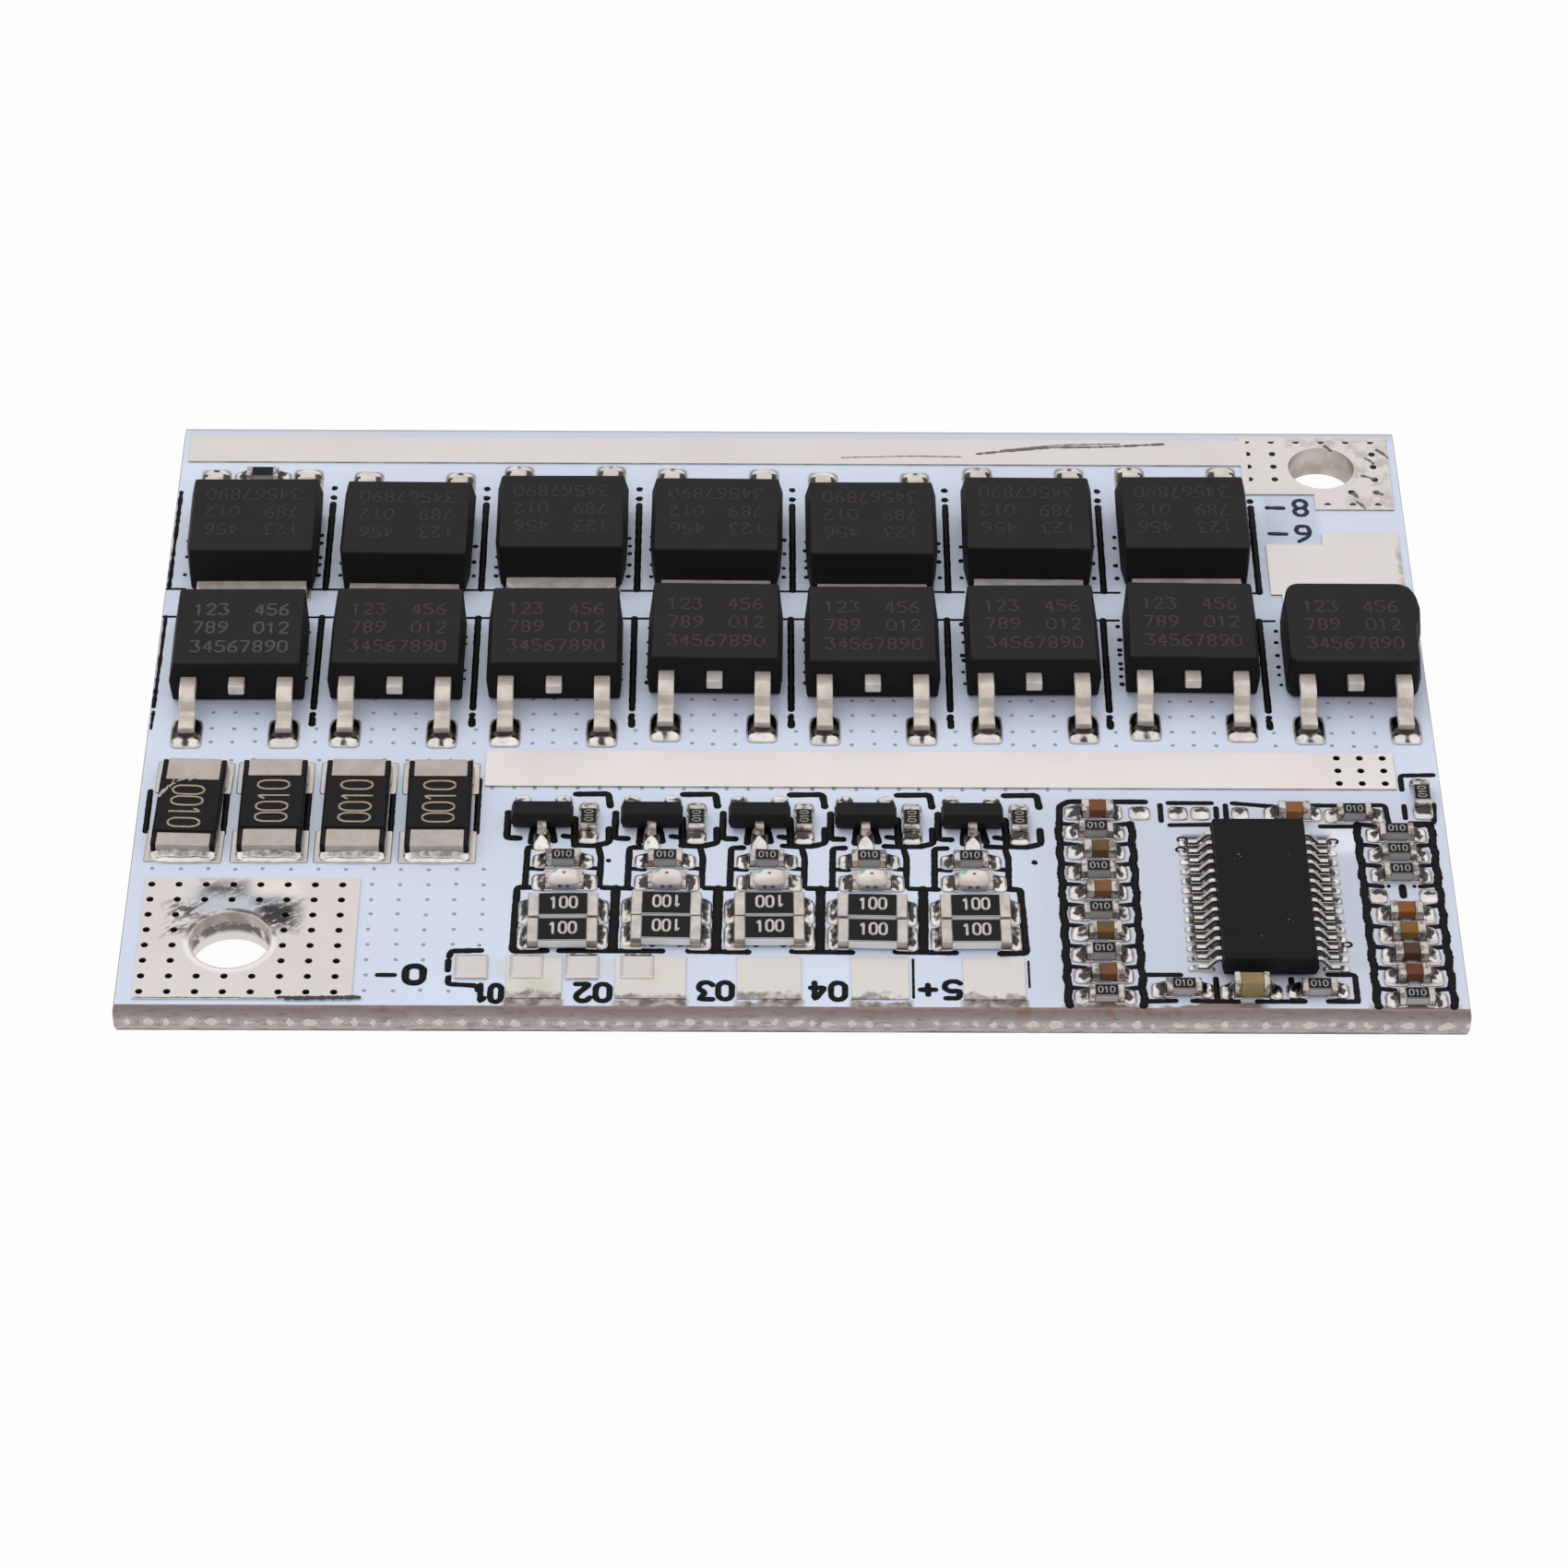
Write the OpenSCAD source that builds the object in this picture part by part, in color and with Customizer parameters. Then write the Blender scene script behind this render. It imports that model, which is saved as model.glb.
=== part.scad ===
// Battery management board: a scored and snapped glass-fibre board that carries fifteen power
// transistors in two facing rows, four current shunts, five balancing channels and a controller.
// The frame stands at the middle of the underside, with +X along the rows and +Z upwards.

/* [Board] */
// Length of the board, along the transistor rows
board_w = 61; // [61:0.1:63]
// Depth of the board, from the cell tap edge to the charger busbar edge
board_d = 42.2; // [42.2:0.1:44]
// Thickness of the laminate with its solder mask
board_t = 1.6; // [1.2:0.1:2.4]
// Depth of the groove that is left along each snapped edge
score_depth = 0.4; // [0.2:0.05:0.5]
// How far the groove slopes inwards
score_run = 0.1; // [0.05:0.01:0.1]

/* [Lands] */
// Height of the tinned lands and pads above the solder mask
land_t = 0.08; // [0.05:0.01:0.12]
// Plating wall in a terminal hole
barrel_t = 0.06; // [0.04:0.01:0.1]
// Diameter of an open via
via_d = 0.34; // [0.3:0.02:0.5]
// Spacing of the open vias along X
via_step_x = 1.25; // [1.15:0.01:1.28]
// Spacing of the open vias along Y
via_step_y = 1.02; // [0.95:0.01:1.03]
// Diameter of the battery terminal hole
battery_hole_d = 3.7; // [3:0.1:4]
// Width of the battery terminal land
battery_land_w = 9.85; // [9.8:0.05:10.2]
// Depth of the battery terminal land
battery_land_d = 8.05; // [8:0.05:8.3]
// Diameter of the charger terminal hole
charger_hole_d = 3.3; // [2.8:0.1:3.5]
// Width of the charger terminal land
charger_land_w = 7.4; // [7.3:0.05:7.6]
// Depth of the charger terminal land
charger_land_d = 4.6; // [4.5:0.05:4.8]
// Width of the busbar behind the transistors
rear_busbar_d = 2; // [1.6:0.1:2.2]
// Width of the busbar in front of the transistors
front_busbar_d = 2.55; // [2:0.05:2.6]
// Side of a sense connector pad
sense_pad_w = 1.5; // [1.3:0.05:1.6]
// Height of the solder on a sense connector pad
sense_pad_h = 0.2; // [0.15:0.01:0.3]

/* [Power transistors] */
// Spacing of the power transistors
mosfet_step = 7.57; // [7.4:0.01:7.6]
// Width of a moulded body
mosfet_w = 6.45; // [6.2:0.05:6.6]
// Length of a moulded body, from the leads to the tab
mosfet_l = 6.1; // [5.9:0.05:6.2]
// Height of a moulded body
mosfet_h = 2.2; // [2.1:0.05:2.4]
// Thickness of the lead frame
frame_t = 0.5; // [0.4:0.02:0.55]
// Width of the cooling tab
tab_w = 5.33; // [5:0.01:5.4]
// How far the tab stands out of the body
tab_out = 0.85; // [0.8:0.05:1]
// Gap between two facing tabs
tab_gap = 0.5; // [0.4:0.05:0.6]
// Width of a lead
mosfet_lead_w = 0.76; // [0.6:0.02:0.9]
// Distance of an outer lead from the middle of the body
mosfet_lead_x = 2.29; // [2.1:0.01:2.35]
// How far a lead reaches from the body
mosfet_reach = 2.5; // [2.45:0.05:2.7]
// Height of the top of a lead where it leaves the body
mosfet_lead_z = 1.45; // [1.3:0.05:1.6]

/* [Shunts] */
// Spacing of the shunts
shunt_step = 3.87; // [3.6:0.01:3.95]
// Width of a shunt
shunt_w = 3.1; // [2.8:0.05:3.2]
// Length of a shunt, over its end caps
shunt_l = 6.1; // [5.9:0.05:6.3]
// Height of a shunt's end caps
shunt_h = 0.6; // [0.4:0.05:0.8]

/* [Balancing channels] */
// Spacing of the small transistors
switch_step = 5; // [4.95:0.01:5.05]
// Spacing of the bleed resistors and lamps
bleed_step = 4.7; // [4.6:0.01:4.75]
// Width of a small transistor's body
switch_w = 2.9; // [2.7:0.05:3]
// Depth of a small transistor's body
switch_d = 1.1; // [1:0.05:1.2]
// Height of a small transistor's body
switch_h = 0.95; // [0.8:0.05:1.05]
// Length of a bleed resistor
bleed_l = 3.2; // [3:0.05:3.3]
// Width of a bleed resistor
bleed_w = 1.55; // [1.4:0.05:1.6]
// Height of a bleed resistor
bleed_h = 0.5; // [0.4:0.05:0.7]

/* [Controller] */
// Width of the controller body
controller_w = 4.4; // [4.2:0.05:4.6]
// Length of the controller body
controller_l = 9.7; // [9.5:0.05:9.9]
// Height of the controller body
controller_h = 1; // [0.8:0.05:1.2]
// Spacing of the controller leads
controller_pitch = 0.65; // [0.6:0.01:0.67]
// Number of leads on each side
controller_leads_a_side = 14; // [12:2:14]
// Distance over the feet of the controller leads
controller_span = 6.4; // [6.2:0.05:6.6]

/* [Small chips] */
// Length of a chip resistor
chip_l = 1.6; // [1.4:0.05:1.7]
// Length of a chip capacitor
capacitor_l = 1.5; // [1.3:0.05:1.7]
// Width of a small chip
chip_w = 0.8; // [0.7:0.05:0.85]
// Height of a chip resistor
resistor_h = 0.45; // [0.35:0.05:0.6]
// Height of a chip capacitor
capacitor_h = 0.5; // [0.4:0.05:0.8]
// Spacing of the chips in the two columns
column_step = 1.385; // [1.3:0.005:1.4]

/* [Hidden] */
$fn = 48;
MOSFETS = 15;
FRONT_MOSFETS = 8;
SHUNTS = 4;
CHANNELS = 5;
SENSE_PADS = 4;

// Colours as the photograph shows them
mask_white = [0.83, 0.87, 0.94];
tin = [0.87, 0.85, 0.82];
solder = [0.62, 0.6, 0.58];
lead_metal = [0.84, 0.81, 0.77];
mould_black = [0.16, 0.15, 0.16];
shunt_black = [0.1, 0.1, 0.1];
ceramic_black = [0.13, 0.13, 0.13];
lens_white = [0.86, 0.84, 0.82];
capacitor_brown = [0.5, 0.38, 0.26];

// Small length by which a cutting solid runs past the face that it cuts
past = 0.5;
// Height of the seat of every part, on top of the pads
seat = board_t + land_t;

// Places are measured from the edges of the board's flat top
top_w = board_w - 2 * score_run;
top_d = board_d - 2 * score_run;
function from_left(x) = x - top_w / 2;
function from_right(x) = top_w / 2 - x;
function from_front(y) = y - top_d / 2;
function from_back(y) = top_d / 2 - y;

// Terminal lands and their holes
land_margin = 0.3;
corner_margin = 0.4;
battery_land_x = from_left(0.75);
battery_land_y = from_front(land_margin);
battery_hole = [battery_land_x + 4.15, battery_land_y + 3.85];
battery_vias = [8, 8];
battery_via_first = [battery_land_x + 0.3, battery_land_y + 0.45];
charger_land_x = from_right(corner_margin) - charger_land_w;
charger_land_y = from_back(corner_margin) - charger_land_d;
charger_hole = [charger_land_x + 4, charger_land_y + 2.1];
charger_arm_w = 3.9;
charger_arm_d = 1.2;
charger_vias = [6, 6];
charger_via_first = [charger_land_x + 0.38, charger_land_y - 0.85];
// Ring of land round a hole that no via breaks
via_ring = 0.42;
rear_busbar_x = from_left(land_margin);
rear_busbar_y = from_back(0.7) - rear_busbar_d;

// Rows of power transistors. Each part lies a little off its row, as it was placed by machine.
mosfet_first = 4;
slip_x = [0.1, 0.03, 0, 0.05, 0, 0.09, 0.1, 0.25,
          0.13, 0.11, 0.06, 0.1, 0.07, 0.19, 0.25];
slip_y = [-0.5, -0.42, -0.32, 0.08, -0.12, 0.03, 0.25, 0.08,
          -0.38, -0.53, 0, -0.17, -0.42, 0, 0.1];
turn_z = [0.4, -0.3, 0.3, -0.6, 0.2, 0.5, -0.7, 0.4,
          0.6, -0.5, 0.3, -0.4, 0.2, -0.3, 0.4];
lead_pad_w = 1.45;
lead_pad_l = 2;
lead_pad_past = 0.83;
row_clear = 0.27;
busbar_clear = 0.07;
rear_row_y = rear_busbar_y - row_clear - lead_pad_past - mosfet_reach;
front_row_y = rear_row_y - 2 * (mosfet_l + tab_out) - tab_gap;
tab_pad_start = 1.3;
tab_pad_w = tab_w + 0.4;

function mosfet_in_front(i) = i < FRONT_MOSFETS;
function mosfet_place(i) =
    [from_left(mosfet_first) + (mosfet_in_front(i) ? i : i - FRONT_MOSFETS) * mosfet_step + slip_x[i],
     (mosfet_in_front(i) ? front_row_y : rear_row_y) + slip_y[i], seat];
function mosfet_turn(i) = (mosfet_in_front(i) ? 0 : 180) + turn_z[i];

// Moulded body of a power transistor: drafted faces, a parting line at the leads and two
// corners that taper towards the tab
mosfet_draft_side = 0.22;
mosfet_draft_leads = 0.2;
mosfet_draft_tab = 0.3;
mosfet_under = 0.1;
taper_l = 1.8;
taper_w = 0.28;
// Chamfer on the two outer corners of the tab
tab_chamfer = 0.4;
// Swelling on the right side of the last moulding of the front row: how far it stands out, its
// start, tip and end along the side, and its lower and upper faces
swelling_out = 0.3;
swelling_y = [2.7, 4.4, 5.6];
swelling_z = [0.7, 1.9];
lead_bend = 0.25;
lead_slope = 72;
lead_straight = 0.62;
lead_root = 0.7;
stub_out = 0.65;
stub_root = 1.4;
slug_start = 0.95;
BEND_STEPS = 6;
// Solder mound round a foot: its lip beside the lead, its crown's length, and the heights of the
// crown and the waist as shares
mound_lip = 0.06;
mound_crown = 1.35;
mound_rise = 0.5;
mound_waist = 0.35;

// Front busbar and the pack terminal land
front_busbar_x = from_left(16.05);
front_busbar_y = front_row_y - mosfet_reach - lead_pad_past + min(slip_y) - busbar_clear
    - front_busbar_d;
front_busbar_w = from_right(2.05) - front_busbar_x;
busbar_vias = [3, 3];
busbar_via_step = [1.08, 0.9];
busbar_via_first = [front_busbar_x + front_busbar_w - 0.5 - 2 * busbar_via_step[0],
                    front_busbar_y + 0.38];
pack_mosfet = FRONT_MOSFETS - 1;
pack_land_sides = [3.4, 3.16];
pack_land_clear = 1.9;
pack_land_x = mosfet_place(pack_mosfet)[0] - pack_land_sides[0];
pack_land_right = mosfet_place(pack_mosfet)[0] + pack_land_sides[1];
// Where the land widens, just behind the tab
pack_land_wide_y = mosfet_place(pack_mosfet)[1] + mosfet_l + tab_out + 0.8;
pack_land_back = charger_land_y - charger_arm_d - pack_land_clear;
pack_land_step = 0.9;
pack_land_step_x = 2.8;

// Shunts: the end caps are narrower on top than at their feet, with a rail of coating on both sides
shunt_first = from_left(2.4);
shunt_front = from_front(9.9);
shunt_cap = 1.2;
shunt_cap_w = shunt_w - 0.6;
shunt_strip = 0.12;
shunt_coat = 0.06;
shunt_pad_w = shunt_w + 0.5;
shunt_pad_past = 0.45;
shunt_pad_in = 0.55;
shunt_turn = [-1.6, 0.3, -0.3, 0.2];
// How far each shunt's coat lies off its middle
coat_slip = [-0.3, 0, 0, 0];

// Balancing channels
switch_first = from_left(18.83);
switch_slip = [0, 0.08, 0.08, 0, -0.05];
switch_y = from_front(12.25);
switch_lead_w = 0.42;
switch_lead_t = 0.14;
switch_lead_x = 0.95;
switch_span = 2.45;
switch_pad_w = 0.8;
switch_pad_d = 0.9;
switch_pad_rear = 1.4;
switch_pad_front = -1.1;
switch_draft = 0.12;
switch_stand = 0.05;
switch_fillet = 0.3;
drive_offset = 2.15;
drive_y = from_front(12.25);
bleed_first = from_left(19.96);
bleed_y = [from_front(4.45), from_front(6.15)];
bleed_cap = 0.5;
bleed_turn = [0.8, -1, 0.5, -1.4, 0.6];
led_y = from_front(8.15);
led_resistor_y = from_front(9.6);
lamp_offset = 0.1;
led_l = 1.8;
led_w = 0.95;
led_base = 0.28;
led_h = 0.8;
led_lens = 1.4;
led_draft = 0.1;
lens_inset = 0.05;

// Controller block, placed from the right edge
controller_x = from_right(8.85);
controller_y = from_front(6.75);
controller_lead_w = 0.24;
controller_lead_t = 0.14;
controller_stand = 0.1;
controller_draft = 0.12;
controller_pad_l = 1.2;
controller_pad_w = 0.36;
controller_pad_past = 0.45;
// Bends of the thin leads of the small transistors and the controller
small_lead_root = 0.3;
small_lead_straight = 0.08;
small_lead_bend = 0.1;
small_lead_slope = 76;
controller_lead_slope = 50;
left_column_x = from_right(16.35);
left_column_y = from_front(13.1);
right_column_x = from_right(2.35);
right_column_y = from_front(11.6);
above_row_y = from_front(12.95);
below_row_y = from_front(1.1);
gate_resistor_y = rear_row_y + 2.25;

// Chip sizes as length, width, height and end cap
resistor_size = [chip_l, chip_w, resistor_h, 0.3];
capacitor_size = [capacitor_l, chip_w, capacitor_h, 0.38];
tall_capacitor_size = [chip_l, chip_w, 0.9, 0.3];
bleed_size = [bleed_l, bleed_w, bleed_h, bleed_cap];
led_size = [led_l, led_w, led_base, 0.3];
cap_wrap = 0.03;
coat_t = 0.04;
chip_pad_past = 0.62;
chip_pad_in = 0.15;
chip_pad_wider = 0.15;
bleed_pad_past = 0.48;
bleed_pad_wider = 0.05;
// Height of a solder fillet as a share of the chip's height, and the pad that it leaves bare
fillet_rise = 0.7;
fillet_short = 0.12;
// Hollow section of a fillet, as shares of its reach and height
fillet_section = [[0, 0], [1, 0], [0.55, 0.3], [0.2, 0.65], [0, 1]];

// A chip is given as the x, y and turn of its pads, its size, and how far it slid on them
STRAIGHT = [0, 0];
slid_a_little = [0.06, 0];
slid_right = [0.19, 0];
slid_back = [0, 0.15];
slid_bleed = [[0, 0.18, 0.18, 0, 0], [0, 0.1, 0.1, 0, 0]];
function column_y(first, k) = first - k * column_step;
function drive_resistor(i) =
    [switch_first + i * switch_step + drive_offset, drive_y, 90, resistor_size, STRAIGHT];
function lamp_resistor(i) =
    [bleed_first + i * bleed_step - lamp_offset, led_resistor_y, 0, resistor_size, STRAIGHT];

chip_resistor_list = concat(
    [for (i = [0:CHANNELS - 1]) drive_resistor(i)],
    [for (i = [0:CHANNELS - 1]) lamp_resistor(i)],
    [for (k = [1:2:9]) [left_column_x, column_y(left_column_y, k), 0, resistor_size, slid_a_little]],
    [for (k = [0, 1, 2, 8]) [right_column_x, column_y(right_column_y, k), 0, resistor_size, STRAIGHT]],
    [[from_right(12.85), below_row_y, 0, resistor_size, slid_a_little],
     [from_right(6.75), below_row_y, 0, resistor_size, slid_a_little],
     [from_right(4.2), above_row_y, 0, resistor_size, STRAIGHT],
     [from_right(0.95), from_front(14.15), 90, resistor_size, STRAIGHT],
     [mosfet_place(FRONT_MOSFETS)[0], gate_resistor_y, 0, resistor_size, STRAIGHT]]);
chip_capacitor_list = concat(
    [for (k = [0:2:8]) [left_column_x, column_y(left_column_y, k), 0, capacitor_size, slid_right]],
    [for (k = [4:7]) [right_column_x, column_y(right_column_y, k), 0, capacitor_size, slid_back]],
    [[from_right(7.05), above_row_y + 0.1, 0, capacitor_size, slid_a_little],
     [from_right(9.75), below_row_y - 0.1, 0, tall_capacitor_size, STRAIGHT]]);
bleed_list = [for (i = [0:CHANNELS - 1], row = [0, 1])
    [bleed_first + i * bleed_step, bleed_y[row], bleed_turn[i], bleed_size, [0, slid_bleed[row][i]]]];
led_list = [for (i = [0:CHANNELS - 1]) [bleed_first + i * bleed_step, led_y, 0, led_size, STRAIGHT]];
all_chips = concat(chip_resistor_list, chip_capacitor_list, bleed_list, led_list);

// Pads without a part on them, as x, y, width and depth
bare_pads = [
    [from_right(14.2), above_row_y + 0.15, 1, 0.9], [from_right(12.4), above_row_y + 0.15, 0.9, 0.9],
    [from_right(11.35), above_row_y + 0.15, 0.9, 0.9], [from_right(9.5), above_row_y + 0.15, 0.8, 0.9],
    [right_column_x - 1.15, column_y(right_column_y, 3), 0.85, 0.95],
    [right_column_x + 1.15, column_y(right_column_y, 3), 0.85, 0.95]];

// Sense connector pads and wire lands along the cell tap edge
sense_first = from_left(15.9);
sense_step = 2.5;
sense_y = from_front(2.45);
sense_pad_round = 0.15;
tap_lands = [[17.5, 2.5], [22.4, 3.2], [27.9, 2.9], [33.05, 2.6], [38.1, 2.8]];
tap_front = from_front(0.45);
tap_land_d = 2.75;

// Points of an arc round c, of radius r, from angle a to angle b
function arc(c, r, a, b) =
    [for (k = [0:BEND_STEPS]) c + r * [cos(a + (b - a) * k / BEND_STEPS), sin(a + (b - a) * k / BEND_STEPS)]];

// Side outline of a bent lead: it leaves the body flat, bends down, bends back and ends in a
// flat foot at height 0. The first value is the reach and the second the height.
function bent_lead(root, bend, toe, top, t, r, slope) =
    let (high = [bend, top - t - r],
         drop = ((2 * r + t) * cos(slope) + high[1] - r - t) / sin(slope),
         low = [bend + (2 * r + t) * sin(slope) + drop * cos(slope), r + t])
    concat([[root, top]], arc(high, r + t, 90, 90 - slope), arc(low, r, 270 - slope, 270),
           [[toe, t], [toe, 0]], arc(low, r + t, 270, 270 - slope), arc(high, r, 90 - slope, 90),
           [[root, top - t]]);

// Solid whose outline in Y and Z is given, of width w along X and centred there
module across(w) {
    translate([-w / 2, 0, 0])
        rotate([90, 0, 90])
            linear_extrude(w)
                children();
}

// Solid whose outline in X and Z is given, from Y = 0 to Y = l
module along(l) {
    translate([0, l, 0])
        rotate([90, 0, 0])
            linear_extrude(l)
                children();
}

// Block between two heights, centred on x and y
module slab(x, y, w, d, z, h) {
    translate([x - w / 2, y - d / 2, z])
        cube([w, d, h]);
}

// Grid of vias as cutting cylinders. A via within the ring round the hole is left out.
module via_grid(first, count, step, hole, hole_d) {
    for (i = [0:count[0] - 1], j = [0:count[1] - 1]) {
        p = first + [i * step[0], j * step[1]];
        if (norm(p - hole) > hole_d / 2 + via_ring)
            translate([p[0], p[1], -past])
                cylinder(d = via_d, h = seat + 2 * past);
    }
}

module battery_via_holes() {
    via_grid(battery_via_first, battery_vias, [via_step_x, via_step_y], battery_hole, battery_hole_d);
}

module charger_via_holes() {
    intersection() {
        via_grid(charger_via_first, charger_vias, [via_step_x, via_step_y], charger_hole,
                 charger_hole_d);
        translate([0, 0, -2 * past])
            linear_extrude(seat + 4 * past)
                charger_outline(-via_d);
    }
}

module busbar_via_holes() {
    via_grid(busbar_via_first, busbar_vias, busbar_via_step, charger_hole, charger_hole_d);
}

// Outline of the charger land without its busbar, with its sides moved out by grow
module charger_outline(grow) {
    right = charger_land_x + charger_land_w;
    back = charger_land_y + charger_land_d;
    arm = right - charger_arm_w;
    polygon([[charger_land_x - grow, charger_land_y - grow], [arm - grow, charger_land_y - grow],
             [arm - grow, charger_land_y - charger_arm_d - grow],
             [right + grow, charger_land_y - charger_arm_d - grow],
             [right + grow, back + grow], [charger_land_x - grow, back + grow]]);
}

module battery_outline() {
    translate([battery_land_x, battery_land_y])
        square([battery_land_w, battery_land_d]);
}

// Laminate with the sloping remains of the scored grooves on all four edges
module laminate() {
    intersection() {
        translate([0, -board_d / 2, 0])
            along(board_d)
                snapped_section(board_w);
        across(board_w)
            snapped_section(board_d);
    }
}

module snapped_section(w) {
    half = w / 2;
    polygon([[-half + score_run, 0], [half - score_run, 0], [half, score_depth],
             [half, board_t - score_depth], [half - score_run, board_t],
             [-half + score_run, board_t], [-half, board_t - score_depth], [-half, score_depth]]);
}

module circuit_board() {
    color(mask_white)
        difference() {
            laminate();
            terminal_bore(battery_hole, battery_hole_d + 2 * barrel_t);
            terminal_bore(charger_hole, charger_hole_d + 2 * barrel_t);
            battery_via_holes();
            charger_via_holes();
            busbar_via_holes();
            translate([0, 0, -past])
                linear_extrude(land_t + past) {
                    battery_outline();
                    charger_outline(0);
                }
        }
}

module terminal_bore(place, d) {
    translate([place[0], place[1], -past])
        cylinder(d = d, h = seat + 2 * past);
}

// Plated wall that joins the land on top to the land underneath
module barrel(place, d) {
    translate([place[0], place[1], 0])
        cylinder(d = d + 2 * barrel_t, h = seat);
}

module battery_terminal_land() {
    color(tin)
        difference() {
            union() {
                translate([0, 0, board_t])
                    linear_extrude(land_t)
                        battery_outline();
                linear_extrude(land_t)
                    battery_outline();
                barrel(battery_hole, battery_hole_d);
            }
            terminal_bore(battery_hole, battery_hole_d);
            battery_via_holes();
        }
}

// Charger land and the busbar that runs from it behind the rear row
module charger_terminal_land() {
    busbar_w = charger_land_x - rear_busbar_x + past;
    color(tin)
        difference() {
            union() {
                translate([0, 0, board_t])
                    linear_extrude(land_t)
                        charger_outline(0);
                linear_extrude(land_t)
                    charger_outline(0);
                translate([rear_busbar_x, rear_busbar_y, board_t])
                    cube([busbar_w, rear_busbar_d, land_t]);
                barrel(charger_hole, charger_hole_d);
            }
            terminal_bore(charger_hole, charger_hole_d);
            charger_via_holes();
        }
}

module front_busbar() {
    color(tin)
        difference() {
            translate([front_busbar_x, front_busbar_y, board_t])
                cube([front_busbar_w, front_busbar_d, land_t]);
            busbar_via_holes();
        }
}

// Land behind the last transistor of the front row, where the pack lead goes. It narrows to a
// tab pad under the transistor.
module pack_terminal_land() {
    step_x = pack_land_x + pack_land_step_x;
    pad_x = mosfet_place(pack_mosfet)[0] - tab_pad_w / 2;
    pad_y = mosfet_place(pack_mosfet)[1] + tab_pad_start;
    color(tin)
        translate([0, 0, board_t])
            linear_extrude(land_t)
                polygon([[pad_x, pad_y], [pad_x + tab_pad_w, pad_y],
                         [pad_x + tab_pad_w, pack_land_wide_y], [pack_land_right, pack_land_wide_y],
                         [pack_land_right, pack_land_back], [step_x, pack_land_back],
                         [step_x, pack_land_back - pack_land_step],
                         [pack_land_x, pack_land_back - pack_land_step],
                         [pack_land_x, pack_land_wide_y], [pad_x, pack_land_wide_y]]);
}

// Wire lands, with the four domed pads of the sense connector
module cell_tap_pads() {
    half = sense_pad_w / 2;
    crown = half - sense_pad_round;
    rim = sense_pad_h - sense_pad_round / 2;
    dome = [[-half, 0], [half, 0], [half, rim], [crown, sense_pad_h], [-crown, sense_pad_h],
            [-half, rim]];
    color(tin) {
        for (land = tap_lands)
            translate([from_left(land[0]), tap_front, board_t])
                cube([land[1], tap_land_d, land_t]);
        for (i = [0:SENSE_PADS - 1])
            translate([sense_first + i * sense_step, sense_y, board_t])
                intersection() {
                    translate([0, -sense_pad_w / 2, 0])
                        along(sense_pad_w)
                            polygon(dome);
                    across(sense_pad_w)
                        polygon(dome);
                }
    }
}

// Places of a chip's two pads, drawn in the chip's own frame
module chip_pads(size) {
    pad_past = pad_past_of(size);
    pad_l = size[3] + chip_pad_in + pad_past;
    pad_w = size[1] + (size == bleed_size ? bleed_pad_wider : chip_pad_wider);
    for (side = [-1, 1])
        slab(side * (size[0] / 2 + pad_past - pad_l / 2), 0, pad_l, pad_w, board_t, land_t);
}

module at_chip_pads(chip) {
    translate([chip[0], chip[1], 0])
        rotate([0, 0, chip[2]])
            children();
}

module at_chip(chip) {
    at_chip_pads(chip)
        translate(chip[4])
            children();
}

function pad_past_of(size) = size == bleed_size ? bleed_pad_past : chip_pad_past;

module component_pads() {
    color(tin) {
        for (chip = all_chips)
            at_chip_pads(chip)
                chip_pads(chip[3]);
        for (pad = bare_pads)
            slab(pad[0], pad[1], pad[2], pad[3], board_t, land_t);
        for (i = [0:MOSFETS - 1])
            at_mosfet(i)
                translate([0, 0, -land_t])
                    mosfet_pads(i != pack_mosfet);
        for (i = [0:SHUNTS - 1])
            at_shunt(i)
                shunt_pads();
        for (i = [0:CHANNELS - 1])
            at_switch(i)
                for (lead = switch_leads_list)
                    slab(lead[0], lead[2], switch_pad_w, switch_pad_d, -land_t, land_t);
        for (side = [-1, 1], k = [0:controller_leads_a_side - 1])
            slab(controller_x + side * (controller_span / 2 + controller_pad_past - controller_pad_l / 2),
                 controller_lead_y(k), controller_pad_l, controller_pad_w, board_t, land_t);
    }
}

// Power transistor

module at_mosfet(i) {
    translate(mosfet_place(i))
        rotate([0, 0, mosfet_turn(i)])
            children();
}

module mosfet_pads(own_tab_pad) {
    toe = -mosfet_reach - lead_pad_past;
    for (side = [-1, 1])
        slab(side * mosfet_lead_x, toe + lead_pad_l / 2, lead_pad_w, lead_pad_l, 0, land_t);
    if (own_tab_pad)
        slab(0, (tab_pad_start + mosfet_l + tab_out) / 2, tab_pad_w,
             mosfet_l + tab_out - tab_pad_start, 0, land_t);
}

// Moulding before the lead frame's room is taken out of it: three outlines meet in it
module mosfet_mould() {
    half = mosfet_w / 2;
    parting = mosfet_lead_z - frame_t / 2;
    intersection() {
        along(mosfet_l)
            polygon([[-half + mosfet_under, 0], [half - mosfet_under, 0], [half, parting],
                     [half - mosfet_draft_side, mosfet_h], [-half + mosfet_draft_side, mosfet_h],
                     [-half, parting]]);
        across(mosfet_w)
            polygon([[mosfet_under, 0], [mosfet_l, 0], [mosfet_l, frame_t],
                     [mosfet_l - mosfet_draft_tab, mosfet_h], [mosfet_draft_leads, mosfet_h],
                     [0, parting]]);
        linear_extrude(mosfet_h)
            polygon([[-half, 0], [half, 0], [half, mosfet_l - taper_l],
                     [half - taper_w, mosfet_l], [-half + taper_w, mosfet_l],
                     [-half, mosfet_l - taper_l]]);
    }
}

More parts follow.
